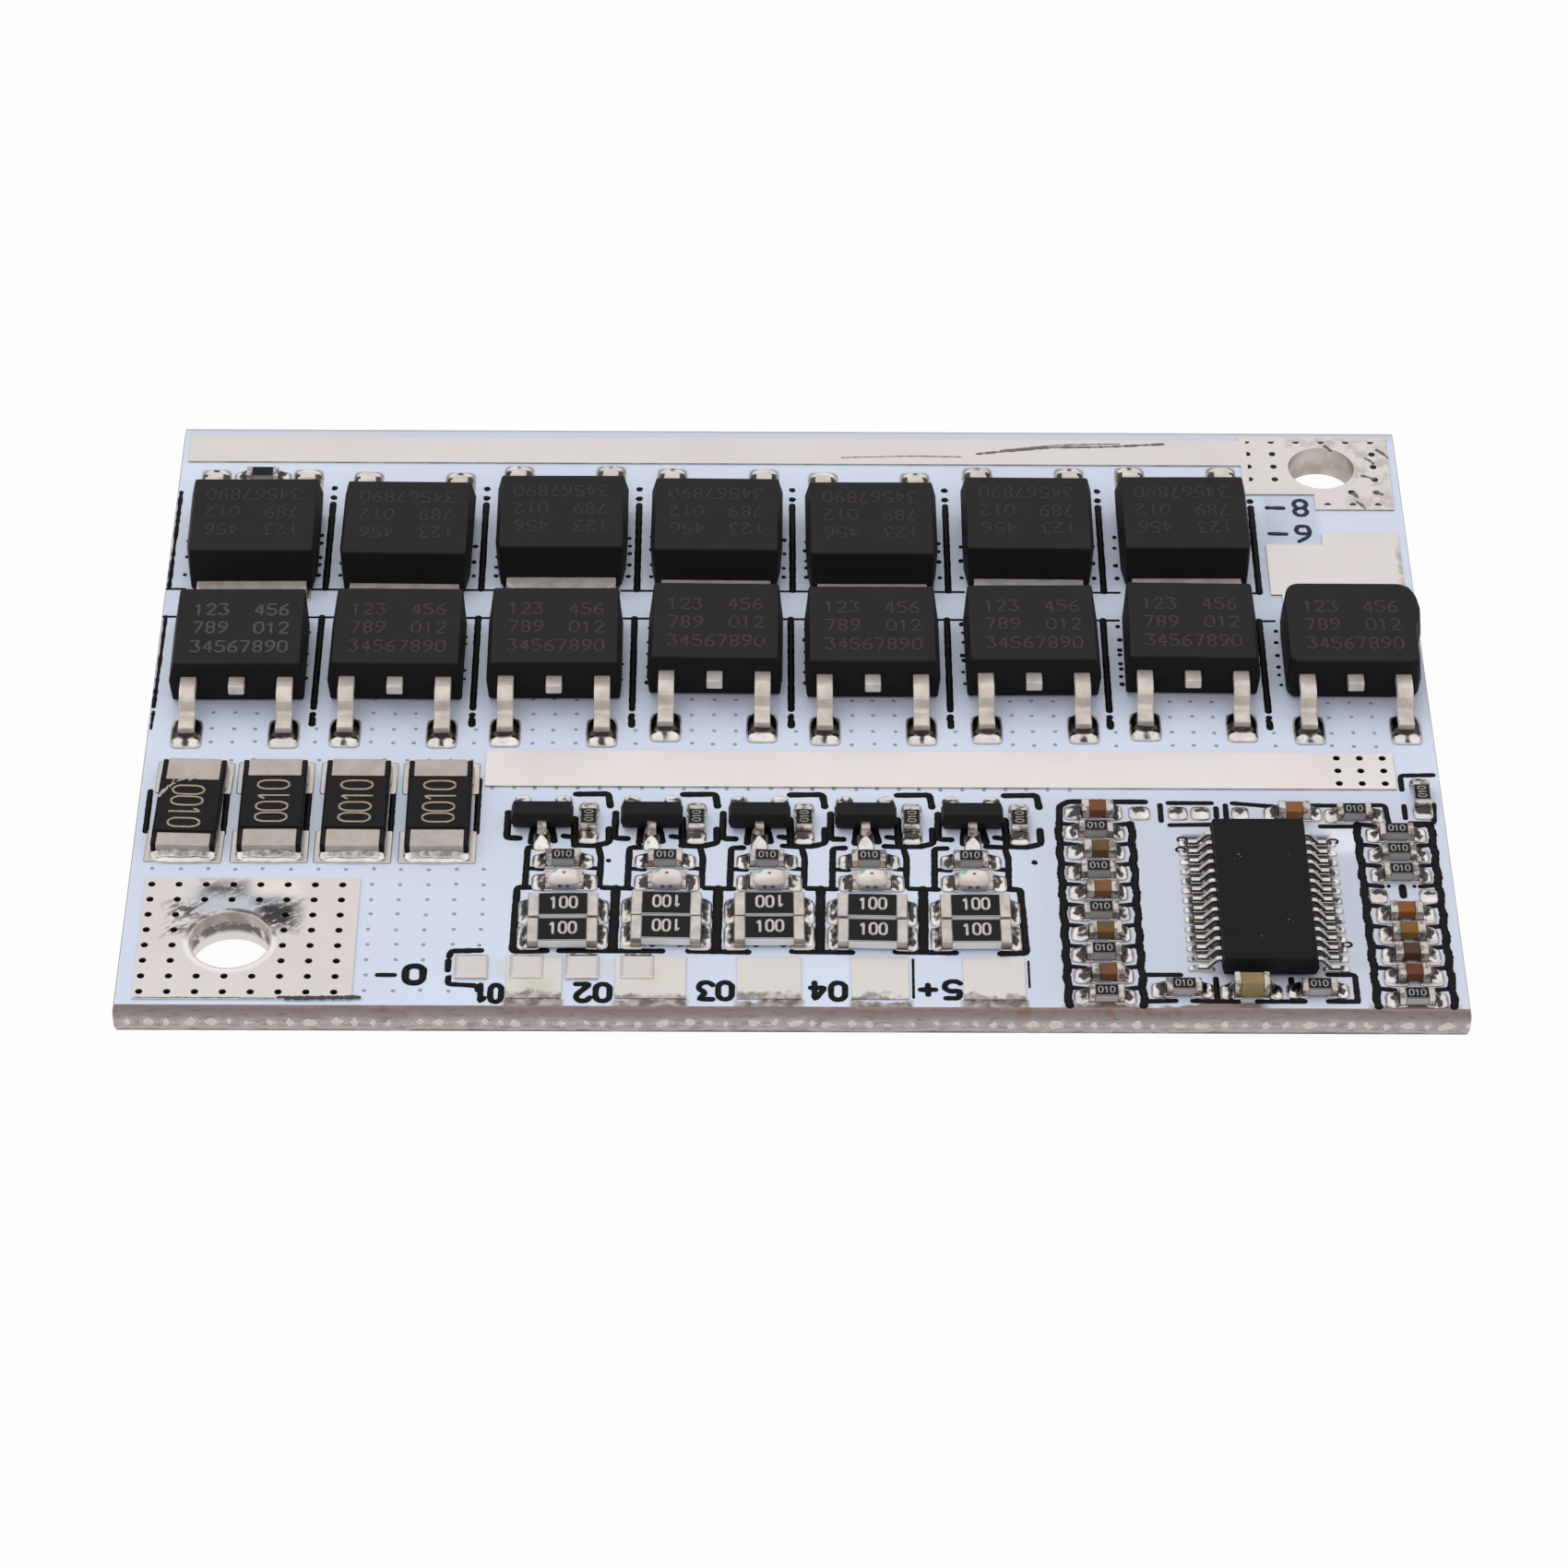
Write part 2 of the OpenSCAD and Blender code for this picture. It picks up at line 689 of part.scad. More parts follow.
// Cooling tab with its slug under the body, the cropped middle lead that rises from it, and
// the two bent leads
module mosfet_frame_solids() {
    lead = bent_lead(-lead_root, lead_straight, mosfet_reach, mosfet_lead_z, frame_t, lead_bend,
                     lead_slope);
    tab_end = mosfet_l + tab_out;
    tab_half = tab_w / 2;
    linear_extrude(frame_t)
        polygon([[-tab_half, slug_start], [tab_half, slug_start], [tab_half, tab_end - tab_chamfer],
                 [tab_half - tab_chamfer, tab_end], [-tab_half + tab_chamfer, tab_end],
                 [-tab_half, tab_end - tab_chamfer]]);
    across(mosfet_lead_w)
        polygon([[stub_root, frame_t], [stub_root, mosfet_lead_z], [-stub_out, mosfet_lead_z],
                 [-stub_out, mosfet_lead_z - frame_t], [slug_start, mosfet_lead_z - frame_t],
                 [slug_start, frame_t]]);
    for (side = [-1, 1])
        translate([side * mosfet_lead_x, 0, 0])
            mirror([0, 1, 0])
                across(mosfet_lead_w)
                    polygon(lead);
}

module mosfet_body(i) {
    color(mould_black)
        at_mosfet(i)
            difference() {
                union() {
                    mosfet_mould();
                    if (i == pack_mosfet)
                        swelling();
                }
                mosfet_frame_solids();
            }
}

module swelling() {
    half = mosfet_w / 2;
    root = half - 2 * taper_w;
    translate([0, 0, swelling_z[0]])
        linear_extrude(swelling_z[1] - swelling_z[0])
            polygon([[root, swelling_y[0]], [half - taper_w / 2, swelling_y[0]],
                     [half + swelling_out, swelling_y[1]], [half - taper_w, swelling_y[2]],
                     [root, swelling_y[2]]]);
}

module mosfet_frame(i) {
    color(lead_metal)
        at_mosfet(i)
            mosfet_frame_solids();
}

// Shunts

module at_shunt(i) {
    translate([shunt_first + i * shunt_step, shunt_front + shunt_l / 2, 0])
        rotate([0, 0, shunt_turn[i]])
            children();
}

module shunt_pads() {
    pad_l = shunt_pad_past + shunt_cap + shunt_pad_in;
    for (side = [-1, 1])
        slab(0, side * (shunt_l / 2 + shunt_pad_past - pad_l / 2), shunt_pad_w, pad_l, board_t, land_t);
}

// Resistance strip with its coating, which runs along both sides of the end caps and stands a
// little proud of them between
module shunt(i) {
    middle = shunt_l - 2 * shunt_cap;
    color(shunt_black)
        at_shunt(i) {
            difference() {
                slab(0, 0, shunt_w - 2 * shunt_coat, shunt_l - 2 * shunt_coat, seat + shunt_strip,
                     shunt_h - shunt_strip);
                shunt_cap_solids(i);
            }
            slab(0, coat_slip[i], shunt_w - 4 * shunt_coat, middle - 2 * shunt_coat, seat + shunt_h,
                 shunt_coat);
        }
}

module shunt_cap_solids(i) {
    for (side = [-1, 1]) {
        cap = shunt_cap - side * coat_slip[i];
        slab(0, side * (shunt_l - cap) / 2, shunt_w, cap, seat, shunt_strip);
        slab(0, side * (shunt_l - cap) / 2, shunt_cap_w, cap, seat, shunt_h);
    }
}

module shunt_end_caps() {
    color(lead_metal)
        for (i = [0:SHUNTS - 1])
            at_shunt(i)
                shunt_cap_solids(i);
}

// Small transistors: two leads behind and one in front

// Each lead's place along X, its side and the middle of its pad along Y
switch_leads_list = [[-switch_lead_x, 1, switch_pad_rear], [switch_lead_x, 1, switch_pad_rear],
                     [0, -1, switch_pad_front]];

module at_switch(i) {
    translate([switch_first + i * switch_step + switch_slip[i], switch_y, seat])
        children();
}

module switch_lead_solids() {
    lead = bent_lead(switch_d / 2 - small_lead_root, switch_d / 2 + small_lead_straight,
                     switch_span / 2, (switch_stand + switch_h + switch_lead_t) / 2, switch_lead_t,
                     small_lead_bend, small_lead_slope);
    for (place = switch_leads_list)
        translate([place[0], 0, 0])
            mirror([0, place[1] < 0 ? 1 : 0, 0])
                across(switch_lead_w)
                    polygon(lead);
}

// Small moulding with drafted faces above and below its parting line
module drafted_block(w, d, low, high, draft) {
    middle = (low + high) / 2;
    intersection() {
        translate([0, -d / 2, 0])
            along(d)
                polygon([[-w / 2 + draft, low], [w / 2 - draft, low], [w / 2, middle],
                         [w / 2 - draft, high], [-w / 2 + draft, high], [-w / 2, middle]]);
        across(w)
            polygon([[-d / 2 + draft, low], [d / 2 - draft, low], [d / 2, middle],
                     [d / 2 - draft, high], [-d / 2 + draft, high], [-d / 2, middle]]);
    }
}

module switch_body(i) {
    color(mould_black)
        at_switch(i)
            difference() {
                drafted_block(switch_w, switch_d, switch_stand, switch_h, switch_draft);
                switch_lead_solids();
            }
}

module switch_leads() {
    color(lead_metal)
        for (i = [0:CHANNELS - 1])
            at_switch(i)
                switch_lead_solids();
}

// Controller

function controller_lead_y(k) =
    controller_y + (k - (controller_leads_a_side - 1) / 2) * controller_pitch;

module controller_lead_solids() {
    lead = bent_lead(controller_w / 2 - small_lead_root, controller_w / 2 + small_lead_straight,
                     controller_span / 2, controller_stand + (controller_h + controller_lead_t) / 2,
                     controller_lead_t, small_lead_bend, controller_lead_slope);
    for (side = [0, 1], k = [0:controller_leads_a_side - 1])
        translate([controller_x, controller_lead_y(k) + controller_lead_w / 2, seat])
            mirror([side, 0, 0])
                rotate([90, 0, 0])
                    linear_extrude(controller_lead_w)
                        polygon(lead);
}

module controller_body() {
    color(mould_black)
        difference() {
            translate([controller_x, controller_y, seat])
                drafted_block(controller_w, controller_l, controller_stand,
                              controller_stand + controller_h, controller_draft);
            controller_lead_solids();
        }
}

module controller_leads() {
    color(lead_metal)
        controller_lead_solids();
}

// Chips. A body lies between its end caps, and a resistor has a coating on its top.

module chip_body(size, coat) {
    inner = size[0] - 2 * size[3];
    slab(0, 0, inner, size[1] - 2 * cap_wrap, seat + cap_wrap, size[2] - cap_wrap - coat_t);
    if (coat)
        slab(0, 0, inner, size[1] - 4 * cap_wrap, seat + size[2] - coat_t, coat_t);
}

module bleed_resistors() {
    color(ceramic_black)
        for (chip = bleed_list)
            at_chip(chip)
                chip_body(chip[3], true);
}

module chip_resistors() {
    color(ceramic_black)
        for (chip = chip_resistor_list)
            at_chip(chip)
                chip_body(chip[3], true);
}

module chip_capacitors() {
    color(capacitor_brown)
        for (chip = chip_capacitor_list)
            at_chip(chip)
                chip_body(chip[3], false);
}

// Lamp: a flat base between its end caps, with a drafted clear lens moulded on top
module balance_led(i) {
    color(lens_white)
        at_chip(led_list[i])
            union() {
                slab(0, 0, led_l - 2 * led_size[3], led_w - 2 * cap_wrap, seat, led_base);
                translate([0, 0, seat + led_base])
                    intersection() {
                        translate([0, -led_w / 2 + lens_inset, 0])
                            along(led_w - 2 * lens_inset)
                                lens_section(led_lens);
                        across(led_lens)
                            lens_section(led_w - 2 * lens_inset);
                    }
            }
}

module lens_section(w) {
    rise = led_h - led_base;
    polygon([[-w / 2, 0], [w / 2, 0], [w / 2 - led_draft, rise], [-w / 2 + led_draft, rise]]);
}

module chip_end_caps() {
    color(lead_metal)
        for (chip = all_chips, side = [-1, 1])
            at_chip(chip)
                slab(side * (chip[3][0] - chip[3][3]) / 2, 0, chip[3][3], chip[3][1], seat, chip[3][2]);
}

// Solder

// Sloping fillet in front of a face at x, of reach l, width w and height h
module fillet(x, l, w, h) {
    translate([0, -w / 2, 0])
        along(w)
            polygon([for (p = fillet_section) [x + p[0] * l, p[1] * h]]);
}

// Mound round a power transistor's foot, with the lead's own room taken out of it
module foot_mound() {
    base = [lead_pad_w - fillet_short, lead_pad_l - fillet_short];
    lip = [mosfet_lead_w + mound_lip, mound_crown];
    rise = frame_t * mound_rise;
    middle = -mosfet_reach - lead_pad_past + lead_pad_l / 2;
    difference() {
        for (side = [-1, 1])
            translate([side * mosfet_lead_x, middle, 0])
                intersection() {
                    translate([0, -base[1] / 2, 0])
                        along(base[1])
                            mound_section(base[0], lip[0], rise);
                    across(base[0])
                        mound_section(base[1], lip[1], rise);
                }
        mosfet_frame_solids();
    }
}

module mound_section(base, lip, rise) {
    waist = (base + lip) / 4;
    polygon([[-base / 2, 0], [base / 2, 0], [waist, rise * mound_waist], [lip / 2, rise],
             [-lip / 2, rise], [-waist, rise * mound_waist]]);
}

module solder_joints() {
    color(solder) {
        for (chip = all_chips, side = [1, -1])
            at_chip(chip)
                mirror([side < 0 ? 1 : 0, 0, 0])
                    translate([0, 0, seat])
                        fillet(chip[3][0] / 2, pad_past_of(chip[3]) - fillet_short - side * chip[4][0],
                               chip[3][1], chip[3][2] * fillet_rise);
        for (i = [0:MOSFETS - 1])
            at_mosfet(i)
                foot_mound();
        for (i = [0:SHUNTS - 1], side = [90, -90])
            at_shunt(i)
                translate([0, 0, seat])
                    rotate([0, 0, side])
                        fillet(shunt_l / 2, shunt_pad_past - fillet_short, shunt_w, shunt_h * fillet_rise);
        for (i = [0:CHANNELS - 1], lead = switch_leads_list)
            at_switch(i)
                translate([lead[0], 0, 0])
                    rotate([0, 0, lead[1] * 90])
                        fillet(switch_span / 2, switch_fillet, switch_lead_w, switch_lead_t);
        for (side = [0, 1], k = [0:controller_leads_a_side - 1])
            translate([controller_x, controller_lead_y(k), seat])
                mirror([side, 0, 0])
                    fillet(controller_span / 2, controller_pad_past - fillet_short, controller_lead_w,
                           controller_lead_t);
    }
}

circuit_board();
battery_terminal_land();
charger_terminal_land();
front_busbar();
pack_terminal_land();
cell_tap_pads();
component_pads();
solder_joints();
mosfet_body(0);  // mosfet_body_01
mosfet_body(1);  // mosfet_body_02
mosfet_body(2);  // mosfet_body_03
mosfet_body(3);  // mosfet_body_04
mosfet_body(4);  // mosfet_body_05
mosfet_body(5);  // mosfet_body_06
mosfet_body(6);  // mosfet_body_07
mosfet_body(7);  // mosfet_body_08
mosfet_body(8);  // mosfet_body_09
mosfet_body(9);  // mosfet_body_10
mosfet_body(10);  // mosfet_body_11
mosfet_body(11);  // mosfet_body_12
mosfet_body(12);  // mosfet_body_13
mosfet_body(13);  // mosfet_body_14
mosfet_body(14);  // mosfet_body_15
mosfet_frame(0);  // mosfet_frame_01
mosfet_frame(1);  // mosfet_frame_02
mosfet_frame(2);  // mosfet_frame_03
mosfet_frame(3);  // mosfet_frame_04
mosfet_frame(4);  // mosfet_frame_05
mosfet_frame(5);  // mosfet_frame_06
mosfet_frame(6);  // mosfet_frame_07
mosfet_frame(7);  // mosfet_frame_08
mosfet_frame(8);  // mosfet_frame_09
mosfet_frame(9);  // mosfet_frame_10
mosfet_frame(10);  // mosfet_frame_11
mosfet_frame(11);  // mosfet_frame_12
mosfet_frame(12);  // mosfet_frame_13
mosfet_frame(13);  // mosfet_frame_14
mosfet_frame(14);  // mosfet_frame_15
shunt(0);  // shunt_1
shunt(1);  // shunt_2
shunt(2);  // shunt_3
shunt(3);  // shunt_4
shunt_end_caps();
controller_body();
controller_leads();
switch_body(0);  // switch_body_1
switch_body(1);  // switch_body_2
switch_body(2);  // switch_body_3
switch_body(3);  // switch_body_4
switch_body(4);  // switch_body_5
switch_leads();
balance_led(0);  // balance_led_1
balance_led(1);  // balance_led_2
balance_led(2);  // balance_led_3
balance_led(3);  // balance_led_4
balance_led(4);  // balance_led_5
bleed_resistors();
chip_resistors();
chip_capacitors();
chip_end_caps();
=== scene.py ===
# Battery management board: finishes, print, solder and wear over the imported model.
# Board places are in millimetres from the left and front edges of the board's flat top.
import math
import random

import bpy
from mathutils import Matrix, Vector, noise


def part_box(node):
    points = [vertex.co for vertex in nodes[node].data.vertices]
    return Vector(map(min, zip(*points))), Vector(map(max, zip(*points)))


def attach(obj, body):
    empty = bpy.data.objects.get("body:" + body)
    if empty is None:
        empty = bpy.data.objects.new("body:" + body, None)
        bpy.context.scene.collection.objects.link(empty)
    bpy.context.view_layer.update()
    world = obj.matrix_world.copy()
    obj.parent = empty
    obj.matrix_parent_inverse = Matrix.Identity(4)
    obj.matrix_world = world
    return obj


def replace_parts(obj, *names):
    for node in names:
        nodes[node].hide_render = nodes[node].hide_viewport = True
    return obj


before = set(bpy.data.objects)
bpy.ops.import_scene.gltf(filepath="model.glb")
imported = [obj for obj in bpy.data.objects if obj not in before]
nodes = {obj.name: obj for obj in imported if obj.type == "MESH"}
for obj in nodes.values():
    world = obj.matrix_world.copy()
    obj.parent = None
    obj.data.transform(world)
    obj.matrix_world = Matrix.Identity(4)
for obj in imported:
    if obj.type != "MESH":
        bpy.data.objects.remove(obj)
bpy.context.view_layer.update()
chance = random.Random(61)

MM = 0.001
SCORE_RUN = 0.1
BOARD_LOW, BOARD_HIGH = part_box("circuit_board")
LEFT = BOARD_LOW[0] / MM + SCORE_RUN
FRONT = BOARD_LOW[1] / MM + SCORE_RUN
TOP = BOARD_HIGH[2] / MM
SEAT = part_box("mosfet_frame_01")[0][2] / MM
LAND_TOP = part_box("front_busbar")[1][2] / MM
MOSFET_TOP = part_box("mosfet_body_01")[1][2] / MM
SHUNT_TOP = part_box("shunt_1")[1][2] / MM

# Places that repeat those of the construction
MOSFET_STEP = 7.57
SWITCH_STEP = 5
BLEED_STEP = 4.7
BLEED_X = 19.98
COLUMN_STEP = 1.385
COLUMN_BACK = 12.4
SHUNT_STEP = 3.87
LAMP_X = 19.96
LAMP_Y = 8.07
CHANNELS = 5
FRONT_MOSFETS = 8
REAR_MOSFETS = 7

# Thickness of the printed ink, and how deep it is bedded in what carries it
INK = 0.02
BED = 0.005


def srgb(colour, share=1.0):
    """Linear colour of three screen values from 0 to 255, dimmed to a share."""
    def linear(value):
        part = value / 255
        return share * (part / 12.92 if part <= 0.04045 else ((part + 0.055) / 1.055) ** 2.4)
    return tuple(linear(value) for value in colour) + (1,)


def metres(x, y, z=TOP):
    """Point of the shared frame at a place on the board."""
    return Vector(((LEFT + x) * MM, (FRONT + y) * MM, z * MM))


def place_object(name, data):
    made = bpy.data.objects.new(name, data)
    bpy.context.scene.collection.objects.link(made)
    return made


# Camera

LENS = 128.84
CAMERA_PLACE = Vector((-2.087, -203.254, 175.313)) * MM
CAMERA_YAW = math.radians(0.5054)
CAMERA_PITCH = math.radians(41.3534)
CAMERA_ROLL = math.radians(-0.5558)


def make_camera():
    forward = Vector((math.sin(CAMERA_YAW) * math.cos(CAMERA_PITCH),
                      math.cos(CAMERA_YAW) * math.cos(CAMERA_PITCH),
                      -math.sin(CAMERA_PITCH)))
    level = Vector((math.cos(CAMERA_YAW), -math.sin(CAMERA_YAW), 0))
    down = forward.cross(level)
    right = level * math.cos(CAMERA_ROLL) + down * math.sin(CAMERA_ROLL)
    up = level * math.sin(CAMERA_ROLL) - down * math.cos(CAMERA_ROLL)
    data = bpy.data.cameras.new("camera")
    data.lens = LENS
    data.sensor_width = 36
    data.clip_start = 0.01
    camera = place_object("camera", data)
    turn = Matrix((right, up, -forward)).transposed()
    camera.matrix_world = Matrix.Translation(CAMERA_PLACE) @ turn.to_4x4()
    bpy.context.scene.camera = camera


# Node trees

class Signal:
    """Value in a node tree, which takes part in sums like a plain number."""

    def __init__(self, wires, socket):
        self.wires = wires
        self.socket = socket

    def __add__(self, other):
        return self.wires.math("ADD", self, other)

    def __sub__(self, other):
        return self.wires.math("SUBTRACT", self, other)

    def __rsub__(self, other):
        return self.wires.math("SUBTRACT", other, self)

    def __mul__(self, other):
        return self.wires.math("MULTIPLY", self, other)

    def __truediv__(self, other):
        return self.wires.math("DIVIDE", self, other)

    def __abs__(self):
        return self.wires.math("ABSOLUTE", self)

    def rise(self, low, high):
        """0 below low, 1 above high. With high under low it falls instead."""
        return self.wires.signal("MapRange", {"Value": self, "From Min": low, "From Max": high},
                                 interpolation_type="SMOOTHSTEP")

    def spread(self, low, high):
        """The value from 0 to 1 laid out between low and high."""
        return self.wires.signal("MapRange", {"Value": self, "To Min": low, "To Max": high})


class Wires:
    """Adds nodes to one material or group and links them."""

    def __init__(self, tree):
        self.tree = tree
        self.count = 0

    def node(self, kind, inputs=None, **settings):
        made = self.tree.nodes.new("ShaderNode" + kind)
        made.location = (180 * self.count, 0)
        self.count += 1
        for key, value in settings.items():
            setattr(made, key, value)
        for key, value in (inputs or {}).items():
            self.feed(made.inputs[key], value)
        return made

    def feed(self, socket, value):
        if isinstance(value, Signal):
            self.tree.links.new(value.socket, socket)
        else:
            socket.default_value = value

    def signal(self, kind, inputs=None, output=0, **settings):
        return Signal(self, self.node(kind, inputs, **settings).outputs[output])

    def math(self, operation, *values, clamp=False):
        return self.signal("Math", dict(enumerate(values)), operation=operation, use_clamp=clamp)

    def mix(self, factor, first, second, blend="MIX"):
        """Colour between two, each from the tree, linear, or three screen values."""
        first, second = (srgb(value) if isinstance(value, tuple) and len(value) == 3 else value
                         for value in (first, second))
        return self.signal("Mix", {0: factor, 6: first, 7: second}, 2, data_type="RGBA",
                           blend_type=blend)

    def ramp(self, value, stops, steps=False):
        made = self.node("ValToRGB", {0: value})
        band = made.color_ramp
        band.interpolation = "CONSTANT" if steps else "LINEAR"
        while len(band.elements) < len(stops):
            band.elements.new(1)
        for element, (position, colour) in zip(band.elements, stops):
            element.position = position
            element.color = srgb(colour)
        return Signal(self, made.outputs[0])

    def noise(self, place, scale, detail=2.0, stretch=None):
        """Soft noise with so many cells a metre, drawn out along the axes by stretch."""
        if stretch:
            place = self.signal("Mapping", {"Vector": place, "Scale": stretch})
        return self.signal("TexNoise", {"Vector": place, "Scale": scale, "Detail": detail})

    def turned(self, place, angle):
        return self.signal("VectorRotate", {"Vector": place, "Angle": angle}, rotation_type="Z_AXIS")

    def vector(self, operation, *values, output="Vector"):
        return self.signal("VectorMath", dict(enumerate(values)), output, operation=operation)

    def axes(self, vector):
        return [Signal(self, socket) for socket in self.node("SeparateXYZ", {0: vector}).outputs]

    def place(self):
        """Place on the object, in metres in the shared frame."""
        return self.signal("TexCoord", output="Object")

    def facing(self):
        """Direction that the surface faces, on the object."""
        return self.axes(self.signal("TexCoord", output="Normal"))

    def rays(self, *kinds):
        """1 for rays of one of these kinds."""
        found = [Signal(self, socket) for socket in self.node("LightPath").outputs
                 if socket.name in kinds]
        total = found[0]
        for other in found[1:]:
            total = self.math("MAXIMUM", total, other)
        return total


def shader_group(name, inputs, outputs, fill):
    """Group with named inputs as name, kind and value, and named outputs as name and kind. fill
    takes the wires and the inputs, and gives the outputs."""
    group = bpy.data.node_groups.new(name, "ShaderNodeTree")
    for label, kind, value in inputs:
        socket = group.interface.new_socket(label, in_out="INPUT", socket_type="NodeSocket" + kind)
        if value is not None:
            socket.default_value = value
    for label, kind in outputs:
        group.interface.new_socket(label, in_out="OUTPUT", socket_type="NodeSocket" + kind)
    wires = Wires(group)
    given = {socket.name: Signal(wires, socket)
             for socket in group.nodes.new("NodeGroupInput").outputs}
    result = group.nodes.new("NodeGroupOutput").inputs
    for label, value in fill(wires, given).items():
        wires.feed(result[label], value)
    return group


def mottle(wires, given):
    """Cloudy change between two colours."""
    clouds = wires.noise(given["Place"], given["Scale"], 4.0)
    shaped = clouds.rise(given["Sharpness"], 1.0 - given["Sharpness"])
    return {"Color": wires.mix(shaped, given["Dark"], given["Light"])}


def grain(wires, given):
    """Fine grain of a moulded, fired or plated surface: a height, and a roughness between two."""
    fine = wires.noise(given["Place"], given["Scale"], 3.0)
    broad = wires.noise(given["Place"], given["Scale"] * 0.07)
    share = fine * 0.4 + broad * 0.6
    return {"Height": fine + broad * 0.8,
            "Roughness": (given["Rough"] - given["Smooth"]) * share + given["Smooth"]}


def hairlines(wires, given):
    """Long fine lines along one direction, such as rubbed metal, as a mask."""
    lines = wires.noise(wires.turned(given["Place"], given["Turn"]), given["Scale"], 3.0,
                        (0.03, 1, 1))
    return {"Mask": lines.rise(0.52, 0.72) * given["Amount"]}


def patch(wires, given):
    """Soft-edged rectangle on the board, as a mask."""
    away = wires.vector("ABSOLUTE", wires.vector("SUBTRACT", given["Place"], given["Middle"]))
    inside = wires.axes(wires.vector("SUBTRACT", given["Half size"], away))
    share = wires.math("MINIMUM", inside[0], inside[1]) / given["Soft edge"]
    return {"Mask": wires.math("ADD", share, 0.5, clamp=True)}


def laminate(wires, given):
    """Snapped fibre edge of the board: brown resin above, a row of bright torn bundles below."""
    place = given["Place"]
    across, along, up = wires.axes(place)
    wave = wires.noise(place, 600, 3.0, (1, 1, 0.4))
    warp = wires.noise(place, 1300)
    level = up / BOARD_HIGH[2] + (wave - 0.5) * 0.3
    swing = wires.math("SINE", (across + along) * (math.tau / (0.93 * MM)) + wave * 14.0)
    away = abs(level - 0.38)
    oval = away * -3.2 + (swing * 0.35 + warp * 1.1)
    bundle = oval.rise(0.32, 0.52)
    gap = away.rise(0.22, 0.12) * oval.rise(0.25, 0.0)
    fibres = wires.noise(place, 3200, 3.0, (0.4, 0.4, 1.6))
    rust = wave.rise(0.6, 0.68) * level.rise(0.7, 0.9)
    tone = wires.ramp(level, (
        (0.0, (118, 114, 122)), (0.05, (158, 150, 150)), (0.1, (206, 197, 191)),
        (0.3, (208, 198, 191)), (0.5, (194, 186, 184)), (0.62, (160, 148, 146)),
        (0.9, (140, 124, 121)), (1.0, (160, 146, 143))))
    for mask, colour in ((fibres.rise(0.46, 0.36) * 0.5, (122, 108, 104)),
                         (gap * 0.5, (152, 146, 146)), (bundle * 0.75, (234, 227, 220)),
                         (rust * 0.6, (140, 84, 74))):
        tone = wires.mix(mask, tone, colour)
    return {"Color": tone, "Height": fibres + bundle * 0.8}


PLACE = ("Place", "Vector", None)
MOTTLE = shader_group(
    "mottle", [PLACE, ("Scale", "Float", 300.0), ("Sharpness", "Float", 0.2),
               ("Light", "Color", (1, 1, 1, 1)), ("Dark", "Color", (0, 0, 0, 1))],
    [("Color", "Color")], mottle)
GRAIN = shader_group(
    "grain", [PLACE, ("Scale", "Float", 20000.0), ("Smooth", "Float", 0.3), ("Rough", "Float", 0.5)],
    [("Height", "Float"), ("Roughness", "Float")], grain)
HAIRLINES = shader_group(
    "hairlines", [PLACE, ("Turn", "Float", 0.0), ("Scale", "Float", 4000.0), ("Amount", "Float", 0.5)],
    [("Mask", "Float")], hairlines)
PATCH = shader_group(
    "patch", [PLACE, ("Middle", "Vector", (0, 0, 0)), ("Half size", "Vector", (1, 1, 1)),
              ("Soft edge", "Float", 0.0002)],
    [("Mask", "Float")], patch)
LAMINATE = shader_group(
    "snapped_laminate", [PLACE], [("Color", "Color"), ("Height", "Float")], laminate)


class Finish:
    """One material: a Principled shader whose plain values are set on its own sockets, and the
    tone that is painted up step by step."""

    def __init__(self, name, **plain):
        self.material = bpy.data.materials.new(name)
        self.material.use_nodes = True
        self.wires = Wires(self.material.node_tree)
        self.shader = self.material.node_tree.nodes["Principled BSDF"]
        for label, value in plain.items():
            self.set(label.replace("_", " "), value)
        self.spot = self.wires.place()

    def set(self, label, value):
        self.wires.feed(self.shader.inputs[label], value)

    def group(self, group, **inputs):
        made = self.wires.node("Group", node_tree=group)
        for label, value in {"Place": self.spot, **inputs}.items():
            self.wires.feed(made.inputs[label.replace("_", " ")], value)
        return {socket.name: Signal(self.wires, socket) for socket in made.outputs}

    def mottle(self, light, dark, scale, sharpness=0.25):
        """Clouds of two colours, or of one and a dimmer share of it."""
        dim = srgb(light, dark) if isinstance(dark, float) else srgb(dark)
        return self.group(MOTTLE, Light=srgb(light), Dark=dim, Scale=scale,
                          Sharpness=sharpness)["Color"]

    def patch(self, x0, x1, y0, y1, soft=0.2):
        """Mask of a rectangle given by board places in millimetres."""
        low = metres(x0, y0)
        high = metres(x1, y1)
        return self.group(PATCH, Middle=(low + high) / 2, Half_size=(high - low) / 2,
                          Soft_edge=soft * MM)["Mask"]

    def upper_side(self):
        """1 on the side that carries the parts, 0 on the underside."""
        return self.wires.axes(self.spot)[2].rise(1.2 * MM, 1.5 * MM)

    def tint(self, mask, colour, share=1.0):
        """Paints a share of a colour over the tone where the mask is bright."""
        self.tone = self.wires.mix(mask * share, self.tone, colour)

    def done(self, scale, smooth, rough, depth, rougher=None, relief=None, fine=None):
        """Sets the tone and the grain. Marks may add to its roughness and relief or thin it."""
        self.set("Base Color", self.tone)
        outputs = self.group(GRAIN, Scale=scale, Smooth=smooth, Rough=rough)
        height = outputs["Height"] * fine if fine else outputs["Height"]
        height = height + relief if relief else height
        self.set("Roughness", outputs["Roughness"] + rougher if rougher else outputs["Roughness"])
        self.set("Normal", self.wires.signal("Bump", {"Height": height, "Distance": depth * MM}))
        return self.material


